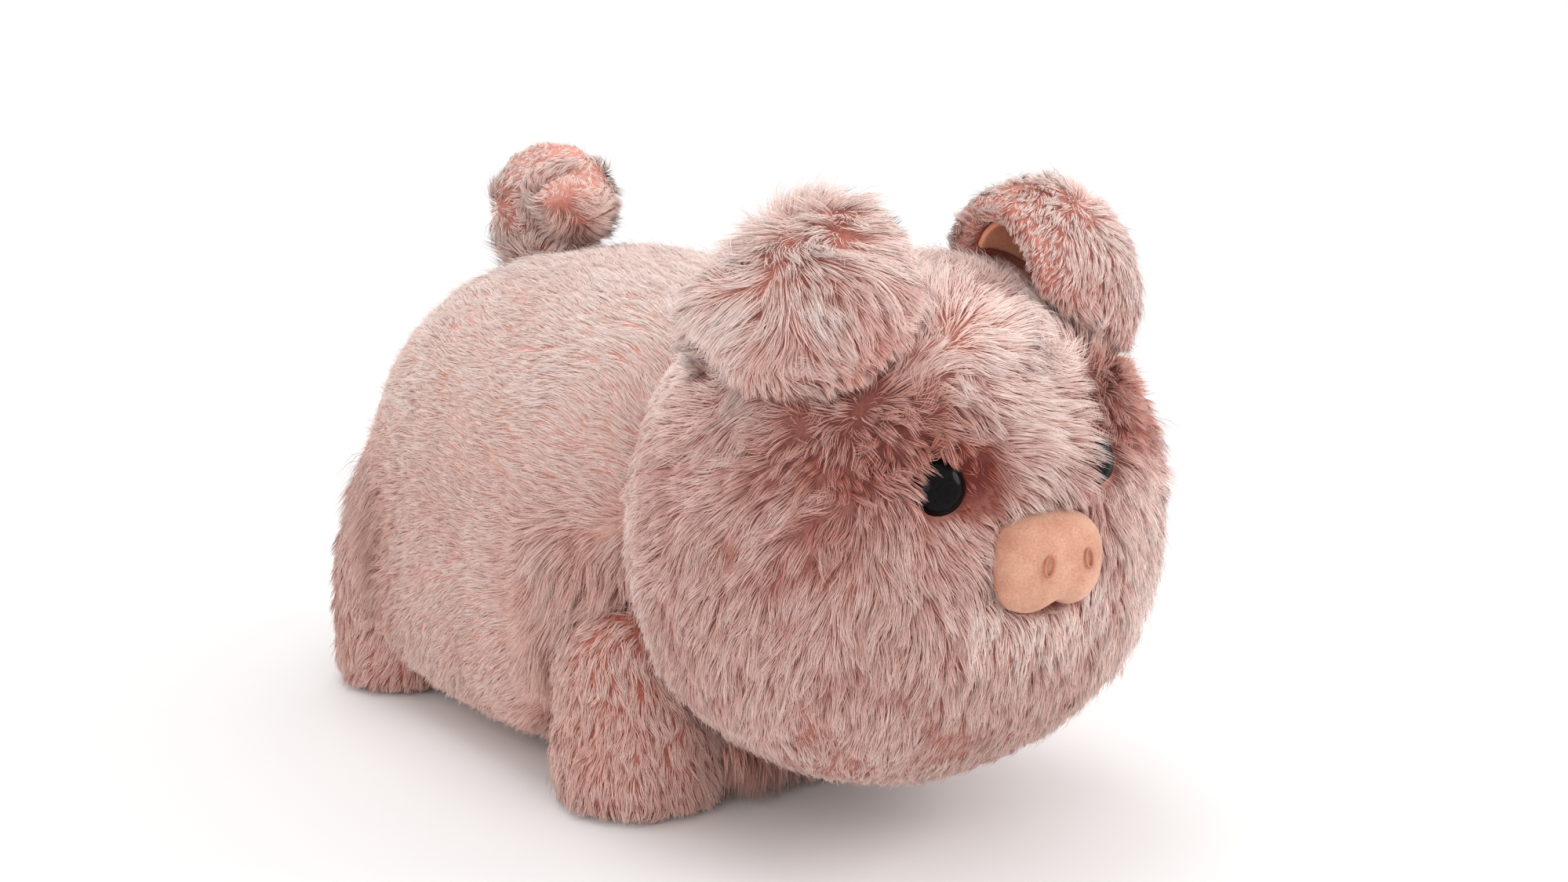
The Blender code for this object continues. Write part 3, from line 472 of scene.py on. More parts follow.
def strand_mesh(made, chosen):
    """The chosen strands as one mesh, with the map that their colour is read from."""
    line, normal, width, turn = (made[k][chosen] for k in ("line", "normal", "width", "turn"))
    rings, count = made["rings"], len(line)
    per = 2 + SIDES * rings
    axis = unit(line[:, -1] - line[:, 0])
    side = unit(np.cross(axis, normal) + 1e-9)
    other = np.cross(axis, side)
    co = np.zeros((count, per, 3))
    shade = np.zeros((count, per, 3))
    place = np.zeros((count, per, 2))
    co[:, 0], co[:, -1] = line[:, 0], line[:, -1]
    shade[:, 0], shade[:, -1] = normal, normal
    tone = np.floor(made["tone"][chosen] * (TONE_STEPS - 1))
    for ring in range(rings):
        radius = width / 2 * SLIMNESS_SHARES[rings][ring]
        for k in range(SIDES):
            angle = turn + math.tau * k / SIDES
            out = side * np.cos(angle)[:, None] + other * np.sin(angle)[:, None]
            at = 1 + SIDES * ring + k
            co[:, at] = line[:, 1 + ring] + out * radius[:, None]
            shade[:, at] = unit(normal * (1 - ROUNDNESS) + out * ROUNDNESS)
            place[:, at, 0] = (0.0, 1.0, 0.5)[k]
            place[:, at, 1] = (ring + 1) / (rings + 1)
    place[:, (0, -1), 0] = 0.5
    place[:, -1, 1] = 1
    place = np.array(MAP_INSETS) + (1 - 2 * np.array(MAP_INSETS)) * place
    place[..., 0] = (tone[:, None] + place[..., 0]) / TONE_STEPS
    faces = []
    for k in range(SIDES):
        k2 = (k + 1) % SIDES
        last = per - 1 - SIDES
        faces.append((0, 1 + k2, 1 + k))
        faces.append((per - 1, last + k, last + k2))
        for ring in range(rings - 1):
            low = 1 + SIDES * ring
            faces.append((low + k, low + k2, low + SIDES + k2, low + SIDES + k))
    sizes = np.array([len(f) for f in faces])
    corners = np.concatenate([np.array(f) for f in faces])
    corners = (corners[None] + per * np.arange(count)[:, None]).ravel()
    starts = np.concatenate(([0], np.cumsum(np.tile(sizes, count))[:-1]))
    mesh = bpy.data.meshes.new("pile")
    mesh.vertices.add(count * per)
    mesh.vertices.foreach_set("co", co.astype(np.float32).ravel())
    mesh.loops.add(len(corners))
    mesh.loops.foreach_set("vertex_index", corners.astype(np.int32))
    mesh.polygons.add(len(starts))
    mesh.polygons.foreach_set("loop_start", starts.astype(np.int32))
    mesh.update(calc_edges=True)
    mesh.polygons.foreach_set("use_smooth", np.ones(len(starts), bool))
    uv = mesh.uv_layers.new(name="OFBake")
    uv.data.foreach_set("uv", place.reshape(-1, 2)[corners].astype(np.float32).ravel())
    mesh.normals_split_custom_set_from_vertices(unit(shade).reshape(-1, 3).astype(np.float32))
    return mesh


def add_pile(made, body, look, name):
    """The strands as pieces of under 200,000 triangles, one behind another from the front."""
    order = np.argsort(made["line"][:, 0, 1], kind="stable")
    parts = math.ceil(len(order) * 2 * SIDES * made["rings"] / MOST_TRIANGLES)
    for i, chosen in enumerate(np.array_split(order, parts)):
        ob = add(f"{name}_{i + 1}" if parts > 1 else name, strand_mesh(made, chosen))
        ob.data.materials.append(look)
        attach(ob, body)


# Materials. Colours are as a screen shows them, 0 to 255.

STRAND_STOPS = (0.0, 0.35, 0.7, 1.0)
NAP_TINT = (250, 225, 212)
NAP_RELIEF = 0.0004
PATCH_SIZE = 14
PATCH_STOPS = (0.36, 0.62)
# Painted shade: the colour that a backing darkens to in its shaded hollows
PAINTED_SHADE_COLOUR = (106, 50, 46)


def material(name, roughness, sheen=0.0, tint=(255, 255, 255), specular=0.3):
    look = bpy.data.materials.new(name)
    look.use_nodes = True
    shader = look.node_tree.nodes["Principled BSDF"]
    shader.inputs["Roughness"].default_value = roughness
    shader.inputs["Sheen Weight"].default_value = sheen
    shader.inputs["Sheen Roughness"].default_value = 0.5
    shader.inputs["Sheen Tint"].default_value = linear(*tint)
    shader.inputs["Specular IOR Level"].default_value = specular
    return look, look.node_tree, shader


def node(tree, kind, links=(), **values):
    made = tree.nodes.new(kind)
    for key, value in values.items():
        setattr(made, key, value)
    for socket, source in links:
        if hasattr(source, "is_output"):
            tree.links.new(source, made.inputs[socket])
        else:
            made.inputs[socket].default_value = source
    return made


def math_node(tree, kind, first, second):
    return node(tree, "ShaderNodeMath", [(0, first), (1, second)], operation=kind).outputs[0]


def smooth_node(tree, source, low, high, most=1.0):
    """0 at low, most at high and smooth between them."""
    links = [("Value", source), ("From Min", low), ("From Max", high), ("To Max", most)]
    return node(tree, "ShaderNodeMapRange", links, interpolation_type="SMOOTHSTEP").outputs["Result"]


def mix_node(tree, share, first, second):
    """Two colours, each a socket or a value, mixed by a share."""
    links = [("Factor", share), (6, first), (7, second)]
    return node(tree, "ShaderNodeMix", links, data_type="RGBA").outputs[2]


def noise_node(tree, place, scale, detail):
    links = [("Vector", place), ("Scale", scale), ("Detail", detail)]
    return node(tree, "ShaderNodeTexNoise", links).outputs["Fac"]


def colour_ramp(tree, source, stops):
    made = node(tree, "ShaderNodeValToRGB", [("Fac", source)])
    points = made.color_ramp.elements
    while len(points) < len(stops):
        points.new(0.5)
    for point, (at, colour) in zip(points, stops):
        point.position = at
        point.color = linear(*colour)
    return made.outputs["Color"]


def pile_look(name, dark, pale):
    """Strands that go from root to tip through dark colours or pale ones, by each one's tone."""
    look, tree, shader = material(name, 0.8, specular=0.12)
    place = node(tree, "ShaderNodeUVMap", uv_map="OFBake").outputs["UV"]
    parts = node(tree, "ShaderNodeSeparateXYZ", [("Vector", place)]).outputs
    low, high = (colour_ramp(tree, parts["Y"], list(zip(STRAND_STOPS, way))) for way in (dark, pale))
    tree.links.new(mix_node(tree, parts["X"], low, high), shader.inputs["Base Color"])
    return look


def cloth_look(name, low, high, scale, strength, roughness=0.9, sheen=0.4, painted_shades=()):
    """Napped cloth: two tones in fine grains and in soft patches, painted shade darkening towards given
    places, a fine bump.
    """
    look, tree, shader = material(name, roughness, sheen, NAP_TINT, 0.2)
    place = node(tree, "ShaderNodeTexCoord").outputs["Object"]
    grain = noise_node(tree, place, scale, 4.0)
    patch = noise_node(tree, place, scale / PATCH_SIZE, 2.0)
    half = math_node(tree, "MULTIPLY", math_node(tree, "ADD", grain, patch), 0.5)
    colour = colour_ramp(tree, half, list(zip(PATCH_STOPS, (low, high))))
    # Painted shade, darkest at each given place and fading out to its far radius
    for middle, near, far, most in painted_shades:
        links = [(0, place), (1, tuple(middle))]
        gap = node(tree, "ShaderNodeVectorMath", links, operation="DISTANCE").outputs["Value"]
        depth = smooth_node(tree, gap, far, near, most)
        colour = mix_node(tree, depth, colour, linear(*PAINTED_SHADE_COLOUR))
    tree.links.new(colour, shader.inputs["Base Color"])
    links = [("Height", grain), ("Strength", strength), ("Distance", NAP_RELIEF)]
    bump = node(tree, "ShaderNodeBump", links)
    tree.links.new(bump.outputs["Normal"], shader.inputs["Normal"])
    return look


BODY_PILE = pile_look(
    "body_pile",
    [(158, 86, 72), (206, 142, 128), (230, 180, 167), (242, 206, 196)],
    [(226, 174, 162), (248, 220, 210), (252, 236, 229), (254, 243, 238)],
)
HEAD_PILE = pile_look(
    "head_pile",
    [(96, 30, 24), (144, 66, 53), (192, 114, 98), (226, 168, 155)],
    [(212, 140, 126), (248, 202, 191), (254, 228, 219), (255, 243, 238)],
)
LEG_PILE = pile_look(
    "leg_pile",
    [(140, 68, 56), (196, 126, 112), (226, 168, 155), (242, 196, 185)],
    [(206, 134, 120), (248, 200, 188), (253, 222, 212), (255, 236, 229)],
)
EAR_PILE = pile_look(
    "ear_pile",
    [(140, 56, 45), (196, 116, 101), (230, 166, 152), (246, 204, 194)],
    [(222, 154, 140), (249, 208, 197), (254, 230, 222), (255, 243, 238)],
)
TAIL_PILE = pile_look(
    "tail_pile",
    [(166, 80, 64), (220, 144, 127), (246, 190, 176), (252, 218, 208)],
    [(222, 150, 134), (252, 212, 200), (255, 234, 226), (255, 244, 238)],
)
EYES = [HEAD_CENTRE + EYE_OFFSET * (side, 1, 1) for side in (-1, 1)]

HOLLOWS = [head_points(unit(HOLLOW_WAY * (side, 1, 1))[None])[0] for side in (-1, 1)]
# Painted shade on the head's backing: dark at each eye's inner hollow, and less dark under each whorl
PAINTED_SHADE_PLACES = [(place, 0.0030, 0.0145, 1.0) for place in HOLLOWS]
PAINTED_SHADE_PLACES += [(WHORL * (side, 1, 1), 0.010, 0.034, 0.6) for side in (-1, 1)]
BACKING = {
    kind: cloth_look(kind + "_backing", dark, pale, 900, 0.4, 0.95, 0.0, painted_shades)
    for kind, dark, pale, painted_shades in (
        ("body", (192, 132, 119), (220, 168, 156), ()),
        ("head", (150, 92, 82), (180, 122, 111), PAINTED_SHADE_PLACES),
        ("ear", (186, 108, 94), (216, 144, 131), ()),
        ("leg", (156, 84, 71), (190, 120, 107), ()),
        ("tail", (190, 122, 109), (216, 156, 144), ()),
    )
}
VELOUR = cloth_look("snout_velour", (186, 130, 106), (213, 163, 139), 1500, 0.35)
LINING = cloth_look("lining_velour", (240, 152, 112), (252, 188, 154), 1300, 0.35)
SOLE = cloth_look("sole_cloth", (150, 96, 86), (188, 138, 127), 1400, 0.5)
THREAD = cloth_look("nostril_thread", (182, 112, 86), (204, 136, 109), 2600, 0.3, 0.55, 0.2)
WASHER = cloth_look("washer_plastic", (205, 205, 200), (224, 224, 220), 500, 0.1, 0.4, 0.0)


# Skins

skins = {
    "body": skin(
        "body_skin",
        ["body_side_left", "body_side_right", "belly_panel", "body_stuffing"],
        voxel=0.0022,
        rounds=3,
        place=body_points,
    ),
    "head": skin(
        "head_skin",
        ["head_crown_panel", "head_side_left", "head_side_right", "head_stuffing"],
        voxel=0.0020,
        rounds=3,
        place=head_points,
    ),
}
for leg in LEGS:
    covered = [f"leg_cover_{leg}", f"leg_stuffing_{leg}"]
    skins["leg_" + leg] = skin(f"leg_skin_{leg}", covered, voxel=0.0016, rounds=8)
skins["tail"] = skin("tail_skin", ["tail_cover", "tail_stuffing"], voxel=0.0014, rounds=10)
for side in ("left", "right"):
    skins["ear_" + side] = skin(f"ear_skin_{side}", [f"ear_outer_{side}"], voxel=0.0014, rounds=10)
for body, piece in skins.items():
    kind = body.split("_")[0]
    piece.data.materials.append(BACKING[kind])
    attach(piece, body)


# Body pile: combed to the rear, then down towards the floor, long and hanging under the chin. A
# pair of numbers says where a change begins and where it is complete.

BODY_PILE_LENGTH, BODY_STRAND_WIDTH = 0.0078, 0.00021
HEAD_ROOM, SOCKET_ROOM, SOCKET_DEPTH, TAIL_ROOM = 0.0012, 0.0012, 0.0015, 0.0135
NECK_GAPS, NECK_FACING, NECK_END = (0.014, 0.002), (0.3, 0.6), 0.02
FLANK_HEIGHTS, RUMP_SLOPES, BELLY_SLOPES = (0.085, 0.03), (0.45, 0.95), (0.6, 0.9)
CHEST_FRONTS, CHEST_HEIGHTS = (-0.002, 0.030), (0.066, 0.034)
HIP_NEAR, HIP_TOPS, HIP_FEET = (0.016, 0.002), (0.100, 0.076), (0.028, 0.046)
HIP_SHADE_NEAR, HIP_SHADE_TOPS = (0.036, 0.006), (0.112, 0.070)
REAR_ENDS, PAINTED_LIGHT_HEIGHTS = (0.090, 0.130), (0.070, 0.155)
HEAD_MARGIN = 0.0008

root, normal = scattered(skins["body"].data, per_mm2=2.5, seed=11)
gap = head_depth(root)
facing = dot(normal, unit(HEAD_CENTRE - root))
keep = gap > HEAD_ROOM
for x, y, radius in LEGS.values():
    flat = np.hypot(root[:, 0] - x, root[:, 1] - y)
    by_leg = (flat < radius + SOCKET_ROOM) & (root[:, 2] < HIP + radius)
    keep &= ~(by_leg & (body_depth(root) < -SOCKET_DEPTH))
keep &= np.linalg.norm(root - TAIL_ROOT, axis=1) > TAIL_ROOM
root, normal, gap, facing = (v[keep] for v in (root, normal, gap, facing))
by_neck = ramp(gap, *NECK_GAPS) * ramp(facing, *NECK_FACING) * (root[:, 1] < NECK_END)
z = root[:, 2]
down = 0.10 + 0.9 * ramp(z, *FLANK_HEIGHTS) + 1.3 * ramp(normal[:, 1], *RUMP_SLOPES)
under = ramp(-normal[:, 2], *BELLY_SLOPES)
chest = ramp(-root[:, 1], *CHEST_FRONTS) * ramp(z, *CHEST_HEIGHTS)
lay = np.zeros_like(root)
lay[:, 1] = 1 - 1.15 * chest
lay[:, 2] = -down * (1 - under) - 0.8 * chest
lay += noise(root, 0.022, 1) * 0.35 + noise(root, 0.008, 2) * 0.35 + noise(root, 0.0035, 3) * 0.15
length = BODY_PILE_LENGTH * np.random.default_rng(12).uniform(0.75, 1.15, len(root))
length *= (1 + 1.5 * chest) * (1 - 0.35 * under * (1 - chest))
over_hip, by_hip = np.zeros(len(root)), np.zeros(len(root))
for x, y, radius in LEGS.values():
    flat = np.hypot(root[:, 0] - x, root[:, 1] - y) - radius
    near = ramp(flat, *HIP_NEAR) * ramp(z, *HIP_TOPS) * ramp(z, *HIP_FEET)
    over_hip = np.maximum(over_hip, near)
    by_hip = np.maximum(by_hip, ramp(flat, *HIP_SHADE_NEAR) * ramp(z, *HIP_SHADE_TOPS))
length *= (1 + 1.2 * over_hip) * (1 - 0.6 * by_neck)
length *= 1 - 0.30 * ramp(root[:, 1], *REAR_ENDS) * (1 - over_hip)
lay[:, 1] *= 1 - 0.9 * over_hip
lay[:, 2] -= 1.3 * over_hip
spots = ramp(patches(root, 0.0065, 8), 0.15, 0.60)
# Paler higher up the back: painted light from above. Darker on the chest under the chin: painted shade
tone = 0.48 + 0.36 * ramp(z, *PAINTED_LIGHT_HEIGHTS) - 0.18 * chest - 0.38 * by_hip - 0.07 * spots
tone += 0.10 * patches(root, 0.020, 4) + 0.12 * patches(root, 0.004, 5)
stand = 0.3 * by_hip + 0.8 * chest * under
made = pile(
    root,
    normal,
    lay,
    length * (1 - 0.15 * spots),
    tone,
    width=BODY_STRAND_WIDTH,
    lifts=(
        math.radians(31) + 0.15 * patches(root, 0.012, 6) + stand,
        math.radians(-4) + 0.12 * patches(root, 0.008, 7) + stand,
    ),
    rings=1,
    tuft=10,
    pull=0.40,
    wild=0.5 + 0.5 * by_hip,
    clear=[(head_depth, HEAD_CENTRE, HEAD_MARGIN), *(hip_form(leg) for leg in LEGS)],
    seed=13,
)
add_pile(made, "body", BODY_PILE, "body_pile")
plump(skins["body"], 0.0009)


# Head pile: it spreads from a whorl over each eye, lies over the body as a ruff and stands up
# between the eyes, where it falls to the far side

HEAD_PILE_LENGTH, HEAD_STRAND_WIDTH = 0.0118, 0.00024
IN_BODY, NECK_ROOM, EYE_ROOM = 0.0045, 0.0012, 0.0081
SNOUT_ROOM, CLEFT_ROOTS, CLEFT_TOP = 0.0002, 0.0042, 0.095
BARE_HOLLOW, HOLLOW_RIM = (0.0105, 0.0060), (0.0125, 0.0070)
WHORL_CORE, WHORL_STRETCH, WHORL_RIM = 0.004, (0.75, 0.75, 1.30), (0.034, 0.010)
CHEEK_KNOT, KNOT_RIM = np.array((0.058, -0.131, 0.112)), (0.013, 0.005)
CHEEK_HEIGHTS, RUFF_FRONTS, CHIN_HEIGHTS = (0.128, 0.07), (-0.090, -0.050), (0.070, 0.035)
FAR_HALF = (0.002, 0.012)
BRIDGE_EDGES, FAR_BRIDGE_EDGES = np.array((0.0185, 0.0085)), np.array((0.0075, 0.0025))
BRIDGE_HEIGHTS, BRIDGE_TOPS, BRIDGE_BACK = (0.112, 0.125), (0.174, 0.140), -0.120
BROW_HEIGHTS = (0.125, 0.150)
SNOUT_NEAR, SNOUT_HEIGHTS, SNOUT_SHORT = (0.022, 0.005), (0.082, 0.092), (0.0, 0.018)
SNOUT_PALE_NEAR, SNOUT_PALE_TOPS = (0.018, 0.004), (0.100, 0.088)
EYE_SHORT, EYE_SHADE = (0.008, 0.018), (0.024, 0.009)
PAINTED_CHEEK_LIGHT, PAINTED_CHEEK_LIGHT_TOPS = (0.024, 0.050), (0.128, 0.112)
PLAIN_BACK, LOW_PALE = (-0.112, -0.085), (0.075, 0.030)
SNOUT_MARGIN = 0.0008
PLUMP_HEAD, PLUMP_EYES, PLUMP_SNOUT = 0.0012, (0.014, 0.026), (0.003, 0.015)
PLUMP_BRIDGE, PLUMP_EDGES = 0.0016, (0.016, 0.008)
PLUMP_HEIGHTS, PLUMP_TOPS = (0.110, 0.122), (0.168, 0.148)

root, normal = scattered(skins["head"].data, per_mm2=2.1, seed=21)
keep = (body_depth(root) > -IN_BODY) & (nearest(root, [NECK_PIVOT]) > NECK_RADIUS + NECK_ROOM)
cleft = np.exp(-((root[:, 0] / CLEFT_HALF_WIDTH) ** 2)) * (root[:, 2] < CLEFT_TOP)
keep &= snout_depth(root) > SNOUT_ROOM - CLEFT_ROOTS * cleft
eye_gap, hollow_gap = nearest(root, EYES), nearest(root, HOLLOWS)
keep &= eye_gap > EYE_ROOM
keep &= np.random.default_rng(24).random(len(root)) > 0.7 * ramp(hollow_gap, *BARE_HOLLOW)
root, normal, eye_gap, hollow_gap = (v[keep] for v in (root, normal, eye_gap, hollow_gap))
hollow = ramp(hollow_gap, *HOLLOW_RIM)
lay = np.zeros_like(root)
whorl_gap = np.full(len(root), np.inf)
for side in (-1, 1):
    out = root - WHORL * (side, 1, 1)
    away = np.linalg.norm(out, axis=1)
    whorl_gap = np.minimum(whorl_gap, np.linalg.norm(out * WHORL_STRETCH, axis=1))
    lay += out / np.maximum(away, WHORL_CORE)[:, None] ** 2.2
lay = unit(lay)
z = root[:, 2]
lay[:, 2] -= 0.15 + 1.1 * ramp(z, *CHEEK_HEIGHTS)
ruff = ramp(root[:, 1], *RUFF_FRONTS)
lay[:, 1] += 0.6 * ruff
knot = ramp(np.linalg.norm(np.abs(root) * (1, -1, 1) - CHEEK_KNOT, axis=1), *KNOT_RIM)
mess = np.maximum(ramp(whorl_gap, *WHORL_RIM), 0.7 * knot)
far_half = ramp(root[:, 0], *FAR_HALF)
edges = BRIDGE_EDGES[:, None] + FAR_BRIDGE_EDGES[:, None] * far_half
bridge = ramp(np.abs(root[:, 0]), *edges)
bridge *= ramp(z, *BRIDGE_HEIGHTS) * ramp(z, *BRIDGE_TOPS) * (root[:, 1] < BRIDGE_BACK)
lay[:, 0] += 0.7 * bridge * far_half
brow = ramp(z, *BROW_HEIGHTS) * (1 - mess)
snout_gap = snout_depth(root)
by_snout = ramp(snout_gap, *SNOUT_NEAR) * ramp(z, *SNOUT_HEIGHTS)
lay += unit(SNOUT_CENTRE - root) * (0.7 * by_snout)[:, None]
lay += noise(root, 0.020, 31) * (0.40 + 0.6 * brow)[:, None]
lay += noise(root, 0.008, 32) * (0.50 + 0.7 * mess)[:, None]
lay += noise(root, 0.0045, 33) * (0.25 + 1.3 * mess)[:, None]
length = HEAD_PILE_LENGTH * np.random.default_rng(22).uniform(0.78, 1.15, len(root))
length *= (1 - 0.30 * ruff) * (1 - 0.42 * ramp(z, *CHIN_HEIGHTS))
length *= 0.70 + 0.30 * ramp(snout_gap, *SNOUT_SHORT)
eye_shade = np.zeros(len(root))
for side, eye in zip((-1, 1), EYES):
    out = root - eye
    toward = unit((WHORL * (side, 1, 1) - eye)[None])
    near = ramp(np.linalg.norm(out, axis=1), *EYE_SHADE)
    eye_shade = np.maximum(eye_shade, near * ramp(dot(unit(out), toward), -0.7, 0.4))
by_eye = np.maximum(ramp(eye_gap, *EYE_SHORT), np.maximum(0.85 * eye_shade, bridge))
length *= 0.62 + 0.38 * by_eye
length *= 1 - 0.62 * hollow * (1 - bridge)
length *= (1 - 0.20 * mess) * (1 + (0.10 + 0.30 * far_half) * bridge)
top = ramp(normal[:, 2], 0.30, 0.85)
spots = ramp(patches(root, 0.0075, 38), 0.10, 0.55)
spots *= 1 - 0.85 * ramp(root[:, 1], *PLAIN_BACK)
# Paler where the head faces up: painted light from above. Darker at the whorls and cheek knots: painted
# shade where the pile crosses
tone = 0.56 + 0.30 * top + 0.12 * ramp(z, *LOW_PALE) - 0.38 * mess - 0.20 * spots
tone += 0.52 * ramp(snout_gap, *SNOUT_PALE_NEAR) * ramp(z, *SNOUT_PALE_TOPS)
# Paler on the far cheek: painted light from the side
tone += 0.42 * ramp(root[:, 0], *PAINTED_CHEEK_LIGHT) * ramp(z, *PAINTED_CHEEK_LIGHT_TOPS)
# The brow's paler tone is painted light from above
tone += 0.22 * ruff + 0.20 * bridge + 0.18 * brow
# Dark in the hollow at each eye's inner corner: painted shade
tone -= 0.75 * hollow * (1 - 0.6 * bridge)
tone += 0.10 * patches(root, 0.024, 34) + 0.14 * patches(root, 0.005, 35)
flat = hollow * (1 - bridge)
made = pile(
    root,
    normal,
    lay,
    length * (1 - 0.25 * spots),
    tone,
    width=HEAD_STRAND_WIDTH,
    lifts=(
        math.radians(33) + 0.22 * patches(root, 0.012, 36) + 0.4 * mess + 0.65 * bridge - 0.35 * flat,
        math.radians(-2) + 0.22 * patches(root, 0.008, 37) + 0.4 * mess + 0.75 * bridge - 0.30 * flat,
    ),
    rings=2,
    tuft=16,
    pull=0.52,
    wild=0.8 + 0.4 * mess - 0.4 * top - 0.5 * hollow,
    clear=[
        (body_depth, BODY_CENTRE, IN_BODY),
        (snout_depth, SNOUT_CENTRE, SNOUT_MARGIN),
        eye_form(-1),
        eye_form(1),
    ],
    seed=23,
)
add_pile(made, "head", HEAD_PILE, "head_pile")
places = coordinates(skins["head"].data)
thickness = PLUMP_HEAD * ramp(nearest(places, EYES + HOLLOWS), *PLUMP_EYES)
thickness *= ramp(snout_depth(places), *PLUMP_SNOUT)
between = ramp(np.abs(places[:, 0]), *PLUMP_EDGES) * (places[:, 1] < BRIDGE_BACK)
between *= ramp(places[:, 2], *PLUMP_HEIGHTS) * ramp(places[:, 2], *PLUMP_TOPS)
plump(skins["head"], thickness + PLUMP_BRIDGE * between)


# Ears: long pile that spreads from the middle of the flap; none under the lining. The ear's sheet
# runs from its root to its tip over s, 0 to 1, and from its inner to its outer edge over w, -1 to 1.

EAR_ROOT = np.array((0.046, -0.081583, 0.160594))
EAR_OUT = np.array((0.848048, 0, -0.529919))
EAR_UP = np.array((0.207912, 0, 0.978148))
EAR_LENGTH, EAR_RISE, EAR_SPREAD = 0.0460, 0.0325, 0.0060
ROOT_HALF_WIDTH, TIP_HALF_WIDTH, TIP_OVER_HEAD = 0.0220, 0.0210, 0.0055
TIP_ROUNDING_SHARES, RISE_FALL_SHARES = (0.12, 0.50), (0.48, 0.31)
EAR_STEPS = (61, 41)
EAR_PILE_LENGTH, EAR_STRAND_WIDTH = 0.0125, 0.00023
EAR_HEAD_ROOM, EAR_HEAD_MARGIN = 0.0005, 0.0030
EAR_MIDDLE = (0.60, 0.0)
EAR_MIDDLE_RIM = (0.024, 0.006)


def head_top(x, y, margin):
    """How high the head's top is, with a margin over it."""
    halves = HEAD_HALVES + margin
    plan, side = HEAD_PLAN_POWER, HEAD_SIDE_POWER
    flat = np.abs(x / halves[0]) ** plan + np.abs((y - HEAD_CENTRE[1]) / halves[1]) ** plan
    return HEAD_CENTRE[2] + halves[2] * (1 - flat ** (side / plan)) ** (1 / side)


def ear_points(side, s, w):
    """Points of the ear's middle sheet."""
    root, out, up = (v * (side, 1, 1) for v in (EAR_ROOT, EAR_OUT, EAR_UP))
    tip_rounding, rise_fall = (
        np.where(w > 0, outer, inner) * w**2 for inner, outer in (TIP_ROUNDING_SHARES, RISE_FALL_SHARES)
    )
    x = EAR_ROOT[0] + TIP_HALF_WIDTH * w
    y = root[1] - EAR_LENGTH * (1 - tip_rounding)
    tip = np.stack((side * x, y, head_top(x, y, TIP_OVER_HEAD)), -1)
    start = root + out * ROOT_HALF_WIDTH * w[..., None]
    arch = np.sin(np.pi * s)
    rise = EAR_RISE * arch * (1 - rise_fall)
    along = ((1 - np.cos(np.pi * s)) / 2)[..., None]
    sheet = start + (tip - start) * along
    return sheet + up * rise[..., None] + out * (EAR_SPREAD * arch * w)[..., None]


def ear_sheet(side):
    """The sheet's points with their s and w, the way it faces and the way to the tip."""
    s, w = np.meshgrid(*(np.linspace(low, 1, n) for low, n in zip((0, -1), EAR_STEPS)), indexing="ij")
    sheet = ear_points(side, s, w)
    along = np.gradient(sheet, axis=0)
    face = unit(np.cross(np.gradient(sheet, axis=1), along)) * side
    middle = face[EAR_STEPS[0] // 2, EAR_STEPS[1] // 2]
    face *= np.sign(dot(middle, np.array((0, -0.3, 1))))
    return sheet.reshape(-1, 3), s.ravel(), w.ravel(), face.reshape(-1, 3), along.reshape(-1, 3)


